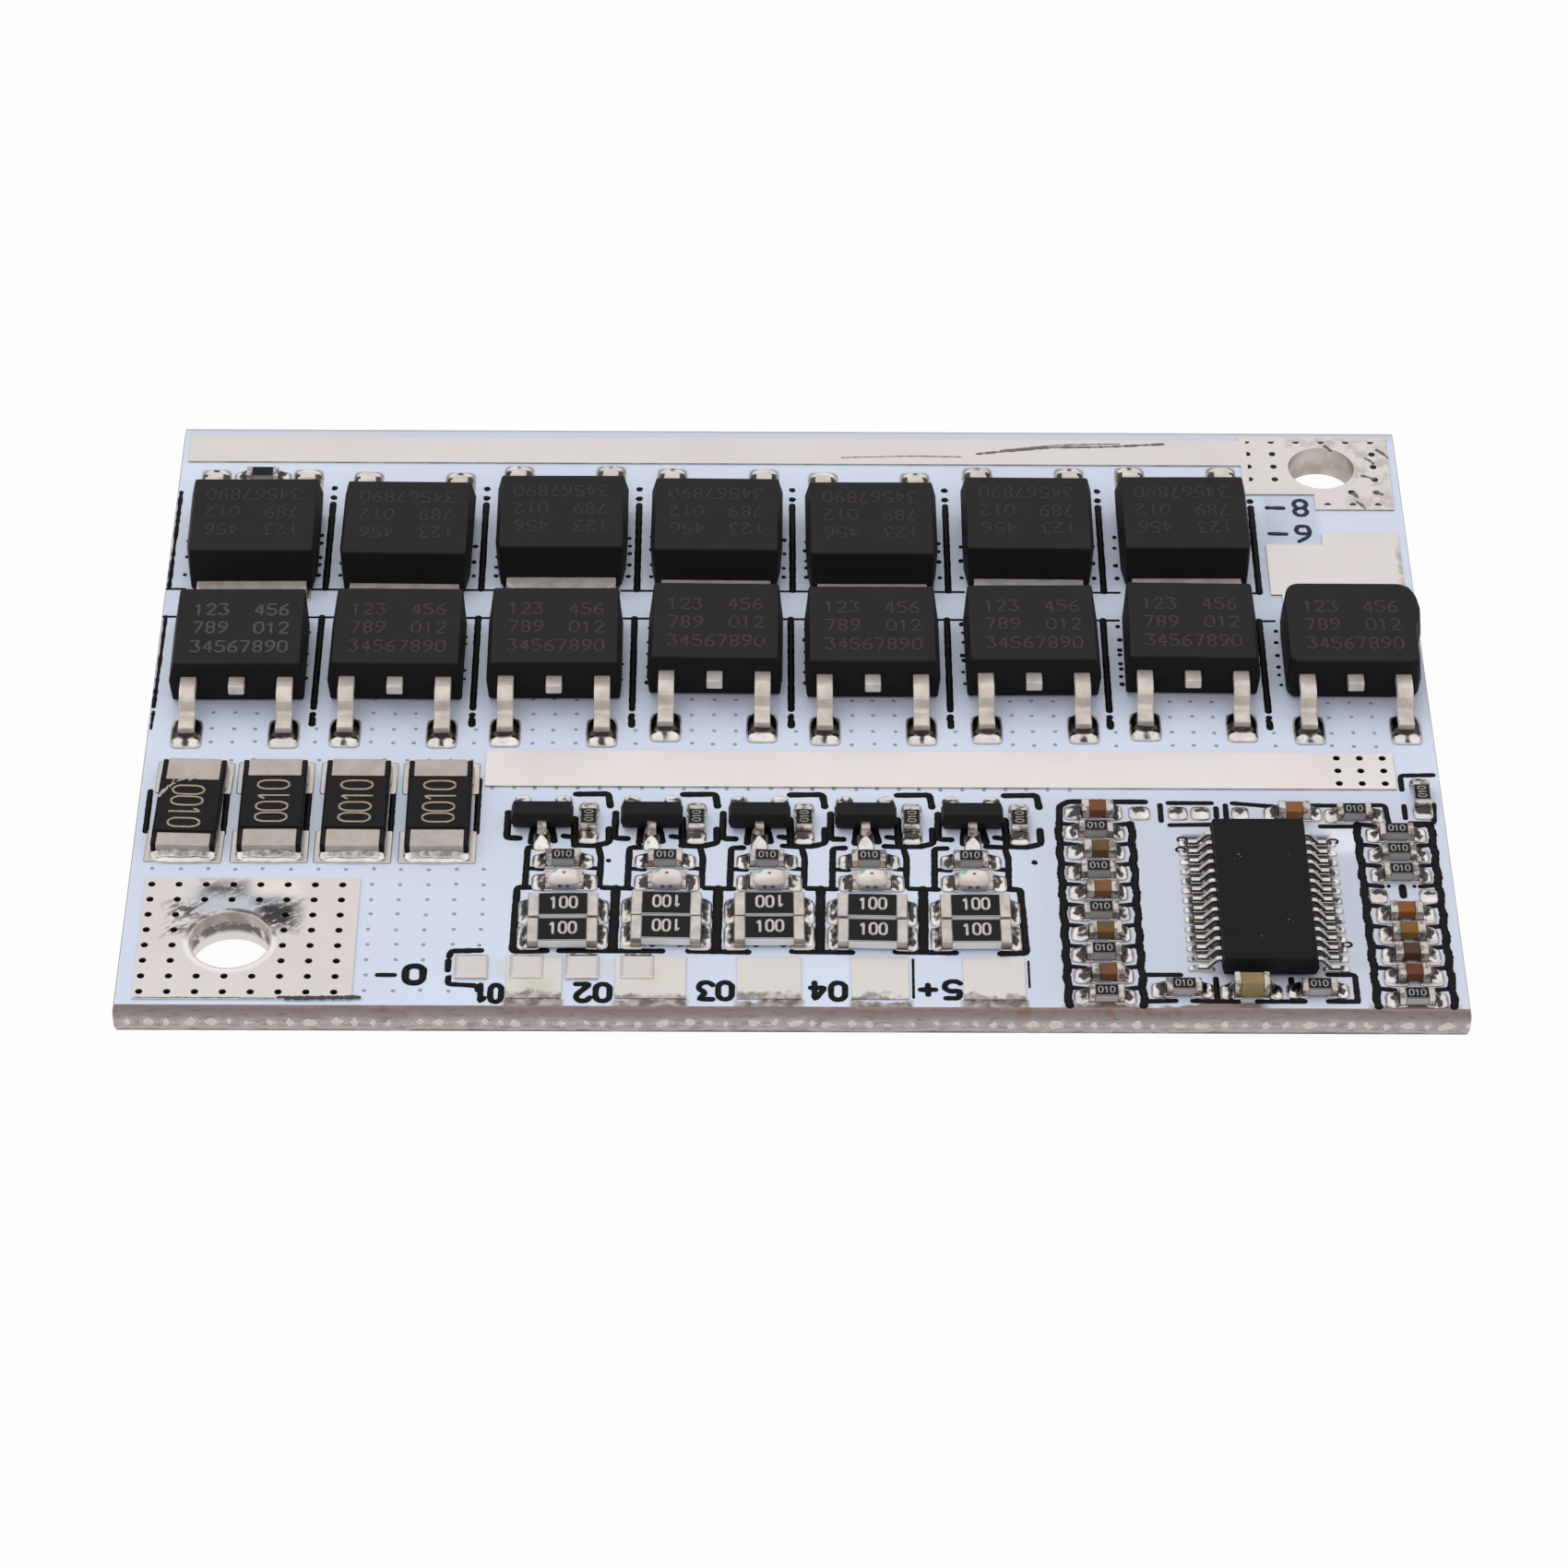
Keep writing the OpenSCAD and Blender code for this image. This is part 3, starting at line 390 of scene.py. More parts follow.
# Stretches of the front edge, from and to along X, where copper was torn or the board is browned
TORN_LANDS = ((17.4, 20.1), (22.3, 25.7), (27.8, 30.9), (33.0, 35.8), (38.0, 41.0))
STAINED_FRONTS = ((42.6, 46.4), (47.0, 51.6), (56.4, 60.3))
FRONT_EDGE = metres(0, 0).y


def solder_mask():
    """White solder mask on both sides, the snapped edge, and dark walls in the vias."""
    finish = Finish("solder_mask", Specular_IOR_Level=0.4)
    wires = finish.wires
    across, along, up = wires.axes(finish.spot)
    flat = abs(wires.facing()[2]).rise(0.45, 0.55)
    side = 1.0 - flat
    inner = (abs(across).rise(BOARD_HIGH[0] - 0.3 * MM, BOARD_HIGH[0] - 0.4 * MM)
             * abs(along).rise(BOARD_HIGH[1] - 0.3 * MM, BOARD_HIGH[1] - 0.4 * MM))
    top = finish.upper_side()
    finish.tone = finish.mottle((222, 231, 249), (212, 221, 241), 90, 0.15)
    # Greyer, yellowed and rubbed parts of the mask: x and y from and to, softness, share and colour
    for *rectangle, share, colour in ((41.0, 60.8, -0.2, 14.6, 2.5, 0.75, (203, 208, 224)),
                                      (16.9, 17.5, 1.9, 3.1, 0.3, 0.5, (204, 216, 208)),
                                      (21.7, 22.4, 1.9, 3.1, 0.3, 0.5, (204, 216, 208)),
                                      (53.9, 56.6, 33.2, 37.0, 0.4, 0.6, (190, 200, 220)),
                                      (54.4, 57.2, 2.4, 10.6, 0.8, 0.5, (196, 202, 216)),
                                      (55.3, 56.7, 10.4, 12.6, 0.6, 0.9, (236, 240, 250)),
                                      (0.0, 60.8, 41.3, 42.2, 0.4, 0.5, (196, 198, 206)),
                                      (-0.2, 61.0, 41.9, 42.2, 0.1, 0.6, (150, 130, 120))):
        finish.tint(finish.patch(*rectangle) * top, colour, share)
    # Painted shade, in blotches, on the mask between the leads of the controller
    dirt_and_shade = wires.noise(finish.spot, 1800, 3.0).rise(0.2, 0.42) * top
    for x0, x1 in ((48.6, 51.0), (53.6, 55.3)):
        finish.tint(dirt_and_shade * finish.patch(x0, x1, 3.1, 11.6, 0.3), (56, 52, 54), 0.95)
    # Bare laminate where the copper was torn at the snapped front edge, browned below the chips
    ragged = along + (wires.noise(finish.spot, 900, 3.0) - 0.5) * (1.1 * MM)
    torn = ragged.rise(FRONT_EDGE + 0.5 * MM, FRONT_EDGE + 0.4 * MM) * top
    streak = finish.mottle((186, 178, 174), (112, 102, 98), 2000, 0.35)
    for x0, x1 in TORN_LANDS:
        finish.tint(torn * finish.patch(x0, x1, -1, 1), streak)
    brown = ragged.rise(FRONT_EDGE + 0.35 * MM, FRONT_EDGE + 0.1 * MM) * top
    for x0, x1 in STAINED_FRONTS:
        finish.tint(brown * finish.patch(x0, x1, -1, 1, 0.5), (122, 98, 76), 0.9)
    snapped = finish.group(LAMINATE)
    rear = along.rise(metres(0, 33).y, metres(0, 34).y)
    hollow = wires.mix(rear, (34, 30, 28), (120, 110, 104))
    finish.tone = wires.mix(flat, wires.mix(inner, snapped["Color"], hollow), finish.tone)
    return finish.done(9000.0, 0.3, 0.42, 0.09, side * 0.3, snapped["Height"] * side, flat * 0.12)


def tinned_land(name, light, dark, worn=()):
    """Tinned copper: satin, softly clouded, lightly rubbed, and smeared grey in the worn places."""
    finish = Finish(name, Metallic=1.0)
    wires = finish.wires
    finish.tone = finish.mottle(light, dark, 240, 0.1)
    finish.tint(abs(wires.facing()[2]).rise(0.5, 0.4),
                finish.mottle((206, 195, 188), (160, 149, 142), 700, 0.3))
    smears = wires.noise(finish.spot, 1500, 4.0).rise(0.42, 0.62)
    for *rectangle, share, grey in worn:
        finish.tint(finish.patch(*rectangle) * smears, grey, share)
    lines = finish.group(HAIRLINES, Turn=0.3, Scale=5000.0, Amount=0.07)["Mask"]
    finish.tint(lines, (238, 234, 230))
    return finish.done(2500.0, 0.32, 0.42, 0.001, relief=lines * 0.4)


def worn_battery_land():
    """Battery land: tinned, smoked and bluish behind the hole where a lead was soldered."""
    finish = Finish("battery_land_tin")
    wires = finish.wires
    top = finish.upper_side()
    finish.tone = finish.mottle((227, 219, 215), (219, 211, 207), 300, 0.1)
    for *rectangle, share, colour in ((3.0, 7.1, 5.9, 7.5, 0.9, 0.9, (188, 195, 204)),
                                      (6.0, 8.0, 7.2, 8.2, 0.5, 0.7, (240, 232, 222))):
        finish.tint(finish.patch(*rectangle) * top, colour, share)
    hole = metres(4.9, 4.15)
    away = wires.vector("DISTANCE", finish.spot, hole, output="Value")
    behind = wires.axes(finish.spot)[1].rise(hole.y - 0.2 * MM, hole.y + 0.8 * MM)
    # Painted highlight: a near-white ring on the rim in front of the hole. Behind it, painted shade with
    # blotches of burnt residue on the rim.
    finish.tint(away.rise(2.25 * MM, 2.05 * MM) * (1.0 - behind), (243, 240, 238), 0.8)
    soot = wires.noise(finish.spot, 1900, 4.0).rise(0.36, 0.56)
    dirt_and_shade = away.rise(2.2 * MM, 2.05 * MM) * soot * (behind * 0.75)
    slanted = wires.turned(finish.spot, -0.6)
    streaks = (wires.noise(slanted, 1200, 6.0, (1, 2.6, 1)) * 0.65
               + wires.noise(slanted, 4200, 3.0, (1, 1.8, 1)) * 0.35)
    for x0, x1, y0, y1, low, high, share in ((1.9, 3.5, 5.5, 6.7, 0.5, 0.61, 0.8),
                                             (1.9, 3.1, 4.5, 5.6, 0.52, 0.63, 0.7),
                                             (5.9, 7.9, 4.9, 6.8, 0.45, 0.57, 0.92),
                                             (3.5, 5.3, 7.25, 8.0, 0.43, 0.55, 0.9)):
        near = finish.patch(x0, x1, y0, y1, 0.9) * top
        smudge = near * (near * 0.08 + streaks).rise(low, high)
        dirt_and_shade = wires.math("MAXIMUM", dirt_and_shade, smudge * share)
    inside = away.rise(1.93 * MM, 1.89 * MM)
    finish.tint(inside, finish.mottle((226, 213, 204), (176, 161, 152), 900, 0.35), 0.9)
    dirt_and_shade = dirt_and_shade * (inside * -0.75 + 1.0)
    finish.tint(dirt_and_shade, (58, 56, 57))
    finish.set("Metallic", 1.0 - inside)
    return finish.done(2500.0, 0.3, 0.45, 0.002, dirt_and_shade * 0.35, dirt_and_shade * 2.0)


def tap_tin():
    """Tap lands: tinned, torn and smeared at the snapped edge, with two yellow stains."""
    finish = Finish("tap_tin", Metallic=1.0)
    wires = finish.wires
    finish.tone = finish.mottle((226, 220, 216), (218, 211, 207), 240, 0.1)
    for k in range(4):
        finish.tint(finish.patch(15.15 + 2.5 * k, 16.65 + 2.5 * k, 1.75, 3.2, 0.12),
                    (212, 205, 205), 0.7)
    finish.tint(finish.patch(18.2, 19.6, 0.6, 1.7, 0.7), (206, 204, 184), 0.8)
    finish.tint(finish.patch(23.7, 24.4, 1.5, 2.5, 0.7), (214, 206, 190), 0.8)
    ragged = wires.axes(finish.spot)[1] + (wires.noise(finish.spot, 1400, 4.0) - 0.5) * (1.6 * MM)
    torn = ragged.rise(FRONT_EDGE + 0.85 * MM, FRONT_EDGE + 0.6 * MM)
    finish.tint(torn, finish.mottle((196, 188, 184), (118, 110, 106), 2200, 0.35), 0.75)
    return finish.done(2500.0, 0.3, 0.4, 0.002, torn * 0.2, torn * 3.0)


def bright_metal(name, light, dark, smooth, rough, metallic=1.0, grime=0.0, flank_shade=0.0):
    """Plated lead frames, leads and end caps, some with dark residue in streaks, and some with painted
    shade on their sides that face front and back.
    """
    finish = Finish(name, Metallic=metallic)
    wires = finish.wires
    finish.tone = finish.mottle(light, dark, 1500, 0.2)
    if grime:
        streaks = wires.noise(finish.spot, 2600, 4.0).rise(0.47, 0.6)
        spared = finish.patch(17.3, 41.8, 3.2, 7.35, 0.05)
        finish.tint(streaks * (spared * -0.85 + 1.0), (84, 78, 74), grime)
    # Painted shade on the sides that face front and back
    if flank_shade:
        finish.tint(abs(wires.facing()[1]).rise(0.6, 0.8), (52, 48, 47), flank_shade)
    return finish.done(9000.0, smooth, rough, 0.002)


def fluid_solder():
    """Solder that has flowed: bright where it is free of residue and shade, near black where residue
    sits on it and where shade is painted on.
    """
    finish = Finish("flowed_solder", Metallic=1.0)
    finish.tone = finish.mottle((242, 238, 234), (206, 200, 196), 1500, 0.2)
    # Share of residue and painted shade at each point: the joint's form paints shade and dark reflection
    # near the parts, with random blots
    soot = finish.wires.signal("Attribute", output="Fac", attribute_name="soot")
    cloud = finish.wires.noise(finish.spot, 5200, 3.0) * 0.4 - 0.2
    finish.tint((soot + cloud).rise(0.25, 0.75), (46, 42, 40), 0.94)
    return finish.done(3600.0, 0.1, 0.3, 0.003)


def moulded_black(name, top, side, smooth=0.4, rough=0.6):
    """Black moulding compound with painted light and shade: the top and the sides take two different
    greys.
    """
    finish = Finish(name, Specular_IOR_Level=0.12)
    # Painted light and shade: faces that look up take the top grey, and all others the side grey
    finish.tone = finish.wires.mix(finish.wires.facing()[2].rise(0.8, 0.95), side,
                                   finish.mottle(top, 0.86, 900, 0.2))
    return finish.done(16000.0, smooth, rough, 0.008)


def fired_coat(name, coat, body):
    """Chip resistor: black coat on top, pale fired body at its sides."""
    finish = Finish(name, Specular_IOR_Level=0.15)
    finish.tone = finish.wires.mix(finish.wires.facing()[2].rise(0.7, 0.9), body,
                                   finish.mottle(coat, 0.7, 1800, 0.3))
    return finish.done(14000.0, 0.3, 0.5, 0.006)


def shunt_coating():
    finish = Finish("shunt_coating", Specular_IOR_Level=0.12)
    finish.tone = finish.mottle((22, 19, 20), (15, 12, 14), 500)
    return finish.done(8000.0, 0.28, 0.46, 0.008)


def capacitor_ceramic():
    """Brown chip capacitors, each of its own brown along the two columns."""
    finish = Finish("capacitor_ceramic", Specular_IOR_Level=0.3)
    wires = finish.wires
    across, along, up = wires.axes(finish.spot)
    share = (along - FRONT_EDGE) / (15 * MM)
    left, middle, right = (wires.ramp(share, stops, True) for stops in (
        ((0.0, (120, 72, 32)), (0.2, (106, 78, 32)), (0.4, (128, 76, 40)), (0.58, (102, 74, 30)),
         (0.77, (122, 68, 34))),
        ((0.0, (152, 130, 86)), (0.5, (150, 90, 42))),
        ((0.0, (108, 52, 22)), (0.2, (76, 44, 30)), (0.295, (126, 90, 26)),
         (0.385, (138, 82, 30)))))
    past_left, past_middle = (across.rise(metres(x, 0).x, metres(x + 0.1, 0).x)
                              for x in (46.5, 56.5))
    brown = wires.mix(past_middle, wires.mix(past_left, left, middle), right)
    cloud = finish.mottle((255, 255, 255), 0.78, 1500)
    finish.tone = wires.mix(1.0, brown, cloud, "MULTIPLY")
    return finish.done(12000.0, 0.3, 0.5, 0.005)


def lamp_lens():
    """Clear lens over a white cup, with a green tick at one end and the dark die in the middle."""
    finish = Finish("lamp_lens", Coat_Weight=0.4, Coat_Roughness=0.1, Specular_IOR_Level=0.5)
    wires = finish.wires
    across, along, up = wires.axes(finish.spot)
    finish.tone = finish.mottle((240, 229, 224), (222, 208, 202), 1500, 0.3)
    finish.tint(up.rise((SEAT + 0.42) * MM, (SEAT + 0.26) * MM), (118, 112, 108), 0.7)
    # Place on its own lamp: the lamps stand a fixed step apart
    u = wires.math("MODULO", across - metres(LAMP_X - 2, 0).x, BLEED_STEP * MM) - 2 * MM
    v = along - metres(0, LAMP_Y).y
    lean = v * -0.45 + (u + 0.5 * MM)
    tick = abs(lean).rise(0.15 * MM, 0.07 * MM) * v.rise(-0.02 * MM, 0.06 * MM)
    finish.tint(tick, (70, 178, 138), 0.85)
    front = ((up - (SEAT + 0.22) * MM) * v.rise(-0.2 * MM, -0.3 * MM)
             + v.rise(-0.3 * MM, -0.2 * MM))
    for x, height, radius, colour in ((0.0, v, 0.09, (104, 80, 72)),
                                      (-0.2, front, 0.11, (60, 56, 56)),
                                      (0.16, front, 0.11, (60, 56, 56))):
        place = wires.signal("CombineXYZ", {0: u - x * MM, 1: height})
        far = wires.vector("LENGTH", place, output="Value")
        finish.tint(far.rise(radius * 1.2 * MM, radius * 0.7 * MM), colour)
    return finish.done(5000.0, 0.15, 0.35, 0.006)


def printed_ink(name, colour, smooth=0.4, rough=0.6):
    finish = Finish(name, Specular_IOR_Level=0.12)
    finish.tone = finish.mottle(colour, 0.8, 2500, 0.3)
    return finish.done(15000.0, smooth, rough, 0.01)


def paper_white():
    """Floor of the studio: white to the camera and to gloss, and it keeps the shadow."""
    finish = Finish("studio_floor", Roughness=0.9, Specular_IOR_Level=0.0)
    wires = finish.wires
    finish.set("Base Color", wires.mix(wires.noise(finish.spot, 3, 1.0), (0.88, 0.88, 0.88, 1),
                                       (0.92, 0.92, 0.92, 1)))
    glow = wires.signal("Emission", {"Color": (1, 1, 1, 1), "Strength": 1.0})
    seen = wires.rays("Is Camera Ray", "Is Glossy Ray", "Is Transmission Ray")
    blend = wires.signal("MixShader", {0: seen * FLOOR_GLOW,
                                       1: Signal(wires, finish.shader.outputs[0]), 2: glow})
    wires.feed(finish.material.node_tree.nodes["Material Output"].inputs["Surface"], blend)
    return finish.material


# Shapes, gathered in board millimetres

class Shape:
    """Closed solids collected into one piece. Each point may carry a share of dark residue and painted
    shade.
    """

    def __init__(self):
        self.points = []
        self.faces = []
        self.soot = []

    def add(self, points, faces, soot=None):
        first = len(self.points)
        self.points += points
        self.faces += [[first + index for index in face] for face in faces]
        self.soot += soot or [0.0] * len(points)

    def stack(self, rings):
        """Closed solid through rings of as many points each, anticlockwise and upwards."""
        count = len(rings[0])
        last = (len(rings) - 1) * count
        faces = [list(range(count - 1, -1, -1)), list(range(last, last + count))]
        for a in range(0, last, count):
            faces += [[a + k, a + (k + 1) % count, a + count + (k + 1) % count, a + count + k]
                      for k in range(count)]
        self.add([point for ring in rings for point in ring], faces)

    def piece(self, name, material, slot):
        mesh = bpy.data.meshes.new(name)
        mesh.from_pydata([metres(*point) for point in self.points], [], self.faces)
        mesh.polygons.foreach_set("use_smooth", [True] * len(mesh.polygons))
        if any(self.soot):
            mesh.attributes.new("soot", "FLOAT", "POINT").data.foreach_set("value", self.soot)
        mesh.materials.append(material)
        mesh.update()
        made = place_object(name, mesh)
        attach(made, "root")
        return made


def rounded(path, radius):
    """Path with its corners cut to short curves."""
    result = [path[0]]
    for before, corner, after in zip(path, path[1:], path[2:]):
        back = before - corner
        ahead = after - corner
        cut = min(radius, back.length / 2, ahead.length / 2)
        start = corner + back.normalized() * cut
        end = corner + ahead.normalized() * cut
        result += [start, (start + 2 * corner + end) / 4, end]
    return result + [path[-1]]


def spaced(path, step):
    """The same path with a point at least every step."""
    result = [path[0]]
    for start, end in zip(path, path[1:]):
        count = max(1, math.ceil((end - start).length / step))
        result += [start.lerp(end, (k + 1) / count) for k in range(count)]
    return result


def stroke(shape, path, width, level=TOP, thick=INK, ragged=0.08, corner=0.15, step=0.18):
    """Flat printed line along a path, with round ends and a slightly uneven width."""
    line = spaced(rounded([Vector(point) for point in path], corner), step)
    ahead = [(b - a).normalized() for a, b in zip(line, line[1:])]
    ways = [ahead[0]]
    ways += [(a + b).normalized() if (a + b).length > 0.1 else b for a, b in zip(ahead, ahead[1:])]
    ways.append(ahead[-1])
    half = width / 2
    sections = []
    for share in (0.15, 0.55, 0.85):
        sections.append((line[0] - ways[0] * half * math.sqrt(1 - share ** 2), ways[0], half * share))
    for place, way in zip(line, ways):
        sections.append((place, way, half * (1 + ragged * chance.uniform(-1, 1))))
    for share in (0.85, 0.55, 0.15):
        sections.append((line[-1] + ways[-1] * half * math.sqrt(1 - share ** 2), ways[-1], half * share))
    # The top rises slightly along the line so that it never lies level with itself where it crosses
    base = level + thick + chance.uniform(0, 0.001)
    rings = []
    for number, (place, way, reach) in enumerate(sections):
        side = Vector((-way.y, way.x)) * reach
        high = base + 0.003 * number / len(sections)
        rings.append([(*(place + side), level - BED), (*(place + side), high),
                      (*(place - side), high), (*(place - side), level - BED)])
    shape.stack(rings)


def print_lines(shape, rows, x=0.0, level=TOP, thick=INK, **settings):
    """Printed lines, each given as its width and then the x and y of its points."""
    for width, *run in rows:
        stroke(shape, [(x + a, b) for a, b in zip(run[::2], run[1::2])], width, level, thick,
               **settings)


def dot(shape, x, y, radius, level=TOP, thick=INK, sides=10):
    """Small printed dot with an uneven rim."""
    rim = [radius * (1 + 0.12 * chance.uniform(-1, 1)) for _ in range(sides)]
    shape.stack([[(x + r * math.cos(math.tau * k / sides), y + r * math.sin(math.tau * k / sides), z)
                  for k, r in enumerate(rim)] for z in (level - BED, level + thick)])


# Strokes of plain numerals and signs, in a box 0.6 wide and 1 high
NUMERALS = {
    "0": [[(0, 0.2), (0, 0.8), (0.15, 1), (0.45, 1), (0.6, 0.8), (0.6, 0.2), (0.45, 0), (0.15, 0),
           (0, 0.2), (0, 0.3)]],
    "1": [[(0.1, 0.78), (0.3, 1), (0.3, 0)]],
    "2": [[(0, 0.8), (0.15, 1), (0.45, 1), (0.6, 0.8), (0.55, 0.6), (0, 0), (0.6, 0)]],
    "3": [[(0, 1), (0.6, 1), (0.3, 0.6), (0.6, 0.4), (0.6, 0.15), (0.42, 0), (0.15, 0), (0, 0.15)]],
    "4": [[(0.45, 0), (0.45, 1), (0, 0.3), (0.6, 0.3)]],
    "5": [[(0.55, 1), (0.05, 1), (0, 0.55), (0.4, 0.6), (0.6, 0.42), (0.6, 0.18), (0.42, 0), (0.12, 0),
           (0, 0.12)]],
    "6": [[(0.5, 1), (0.1, 0.7), (0, 0.35), (0.1, 0), (0.5, 0), (0.6, 0.25), (0.5, 0.5), (0.1, 0.5)]],
    "7": [[(0, 1), (0.6, 1), (0.2, 0)]],
    "8": [[(0.15, 0.52), (0, 0.75), (0.15, 1), (0.45, 1), (0.6, 0.75), (0.45, 0.52), (0.15, 0.52),
           (0, 0.25), (0.15, 0), (0.45, 0), (0.6, 0.25), (0.45, 0.52)]],
    "9": [[(0.1, 0), (0.5, 0.3), (0.6, 0.65), (0.5, 1), (0.1, 1), (0, 0.75), (0.1, 0.5), (0.5, 0.5)]],
    "+": [[(0.3, 0.22), (0.3, 0.78)], [(0.02, 0.5), (0.58, 0.5)]],
}


def write(shape, text, x, y, height, turn, width, level=TOP, thick=INK, pitch=0.85, stretch=1.0):
    """Plain numerals centred on a place, turned by so many degrees."""
    cos = math.cos(math.radians(turn))
    sin = math.sin(math.radians(turn))
    full = (len(text) - 1) * pitch + 0.6
    for k, sign in enumerate(text):
        for path in NUMERALS[sign]:
            placed = []
            for u, v in path:
                a = (u + k * pitch - full / 2) * height * stretch
                b = (v - 0.5) * height
                placed.append((x + a * cos - b * sin, y + a * sin + b * cos))
            stroke(shape, placed, width, level, thick, corner=0.12 * height, step=0.12 * height)


# Silkscreen

def silkscreen_between_mosfets(shape):
    """Thick lines between the power transistors, the cross lines and the outline's nubs."""
    for i in range(FRONT_MOSFETS):
        x = 0.13 + i * MOSFET_STEP
        if i == 0:
            stroke(shape, [(0.14, 27.2), (0.13, 24.0), (0.1, 20.45)], 0.17, ragged=0.4, step=0.3)
            stroke(shape, [(0.12, 20.1), (0.1, 18.9)], 0.17, ragged=0.4)
        else:
            stroke(shape, [(x, 27.2), (x, 20.45)], 0.33)
            stroke(shape, [(x, 20.0), (x - 0.04, 19.75)], 0.28, ragged=0.3)
            stroke(shape, [(x, 19.6), (x, 19.25)], 0.34)
        stroke(shape, [(max(x - 0.75, 0.02), 27.18), (x + 0.75, 27.18)], 0.13)
        y = 22.4
        while y < 26.9:
            dot(shape, x + 0.72 + chance.uniform(-0.04, 0.04), y, chance.uniform(0.09, 0.15))
            if i and chance.random() < 0.45:
                dot(shape, x - 0.52 + chance.uniform(-0.03, 0.03), y + 0.2, chance.uniform(0.08, 0.12))
            y += chance.uniform(0.35, 1.1)
    for i in range(REAR_MOSFETS + 1):
        x = 0.15 + i * (MOSFET_STEP + 0.02)
        if i == 0:
            stroke(shape, [(0.14, 36.9), (0.13, 33.0), (0.12, 29.35)], 0.18, ragged=0.4, step=0.3)
        else:
            stroke(shape, [(x, 36.0), (x, 29.35)], 0.33)
            dot(shape, x, 36.5, 0.18)
            dot(shape, x, 37.25, 0.17)
        stroke(shape, [(max(x - 0.75, 0.02), 29.3), (x + (0.75 if i < REAR_MOSFETS else 0), 29.3)], 0.13)
        if i == REAR_MOSFETS:
            continue
        for side in (-0.42, 0.68):
            y = 30.4
            while y < 33.9 and x + side > 0.1:
                dot(shape, x + side + chance.uniform(-0.03, 0.03), y, chance.uniform(0.1, 0.15))
                y += chance.uniform(0.5, 1.4)


def silkscreen_between_shunts(shape):
    print_lines(shape, [(0.29, x, back, x, front) for x, back, front in (
        (0.45, 14.4, 11.6), (4.05, 14.9, 11.5), (7.88, 15.0, 11.5), (11.8, 15.2, 11.6),
        (15.78, 15.3, 11.6))])


def silkscreen_round_switches(shape):
    """Broken outlines round the small transistors and their drive resistors."""
    for i in range(CHANNELS):
        print_lines(shape, (
            (0.34, 17.22, 13.0, 17.2, 11.25, 17.78, 11.22), (0.36, 20.32, 12.6, 20.36, 10.75),
            (0.32, 19.85, 11.38, 20.3, 11.3), (0.34, 18.44, 12.1, 18.34, 10.95),
            (0.36, 19.22, 12.1, 19.4, 11.05), (0.34, 20.35, 14.32, 21.85, 14.35, 21.95, 13.5),
            (0.34, 21.93, 11.9, 21.95, 10.95, 21.4, 10.75), (0.3, 20.36, 10.75, 21.3, 10.72)),
            i * SWITCH_STEP)


def silkscreen_round_lamps(shape):
    for i in range(CHANNELS):
        print_lines(shape, (
            (0.31, 18.75, 10.62, 18.2, 10.6, 18.15, 7.95),
            (0.31, 20.6, 10.75, 21.45, 10.7, 21.6, 9.9, 21.55, 8.0),
            (0.26, 18.25, 9.15, 18.9, 9.1), (0.26, 21.0, 9.2, 21.5, 9.15)), i * BLEED_STEP)
    dot(shape, 21.95, 9.7, 0.12)
    dot(shape, 41.6, 9.68, 0.15)


def silkscreen_round_bleeders(shape):
    """Boxes round the bleed resistors, with thick double lines between the channels."""
    print_lines(shape, [(0.34, 18.6, 7.85, 17.8, 7.85, 17.72, 3.55, 19.25, 3.6)])
    for x in (20.95, 23.42):
        stroke(shape, [(x - 0.55, 3.32), (x, 3.27), (x + 0.55, 3.33)], 0.12, ragged=0.5)
    for i in range(CHANNELS - 1):
        front = (0.31, 21.0, 3.6, 23.7, 3.55) if i else (0.31, 19.85, 3.6, 24.5, 3.6)
        print_lines(shape, ((0.46, 22.32, 7.8, 22.26, 3.7), (0.29, 21.7, 7.85, 23.0, 7.8), front),
                    i * BLEED_STEP)
    print_lines(shape, ((0.34, 40.3, 7.85, 40.88, 7.8, 41.02, 3.55, 39.85, 3.5),
                        (0.12, 35.86, 3.1, 35.84, 0.6), (0.1, 41.08, 3.0, 41.08, 1.3)))


def silkscreen_chip_columns(shape):
    """Scalloped borders of the two chip columns, with slanted ticks between the chips."""
    steps = [COLUMN_BACK - k * COLUMN_STEP for k in range(9)]
    for left, right in ((42.85, 46.15), (56.72, 60.1)):
        for x, bulge in ((left, -0.1), (right, 0.1)):
            path = [(x, COLUMN_BACK)]
            for y in steps:
                path += [(x, y - 0.15), (x + bulge, y - 0.7), (x, y - 1.2)]
            stroke(shape, path, 0.37, corner=0.3, ragged=0.15)
        for y in steps:
            stroke(shape, [(left, y), (left + 0.8, y - 0.12)], 0.27)
            stroke(shape, [(right, y), (right - 0.8, y - 0.12)], 0.27)
            dot(shape, left + 1.1, y - 0.1, 0.1)
            dot(shape, right - 1.1, y - 0.1, 0.1)
    print_lines(shape, ((0.32, 42.85, 12.4, 42.9, 13.6, 43.3, 13.92, 46.9, 13.92),
                        (0.36, 58.45, 8.1, 58.45, 7.5)))


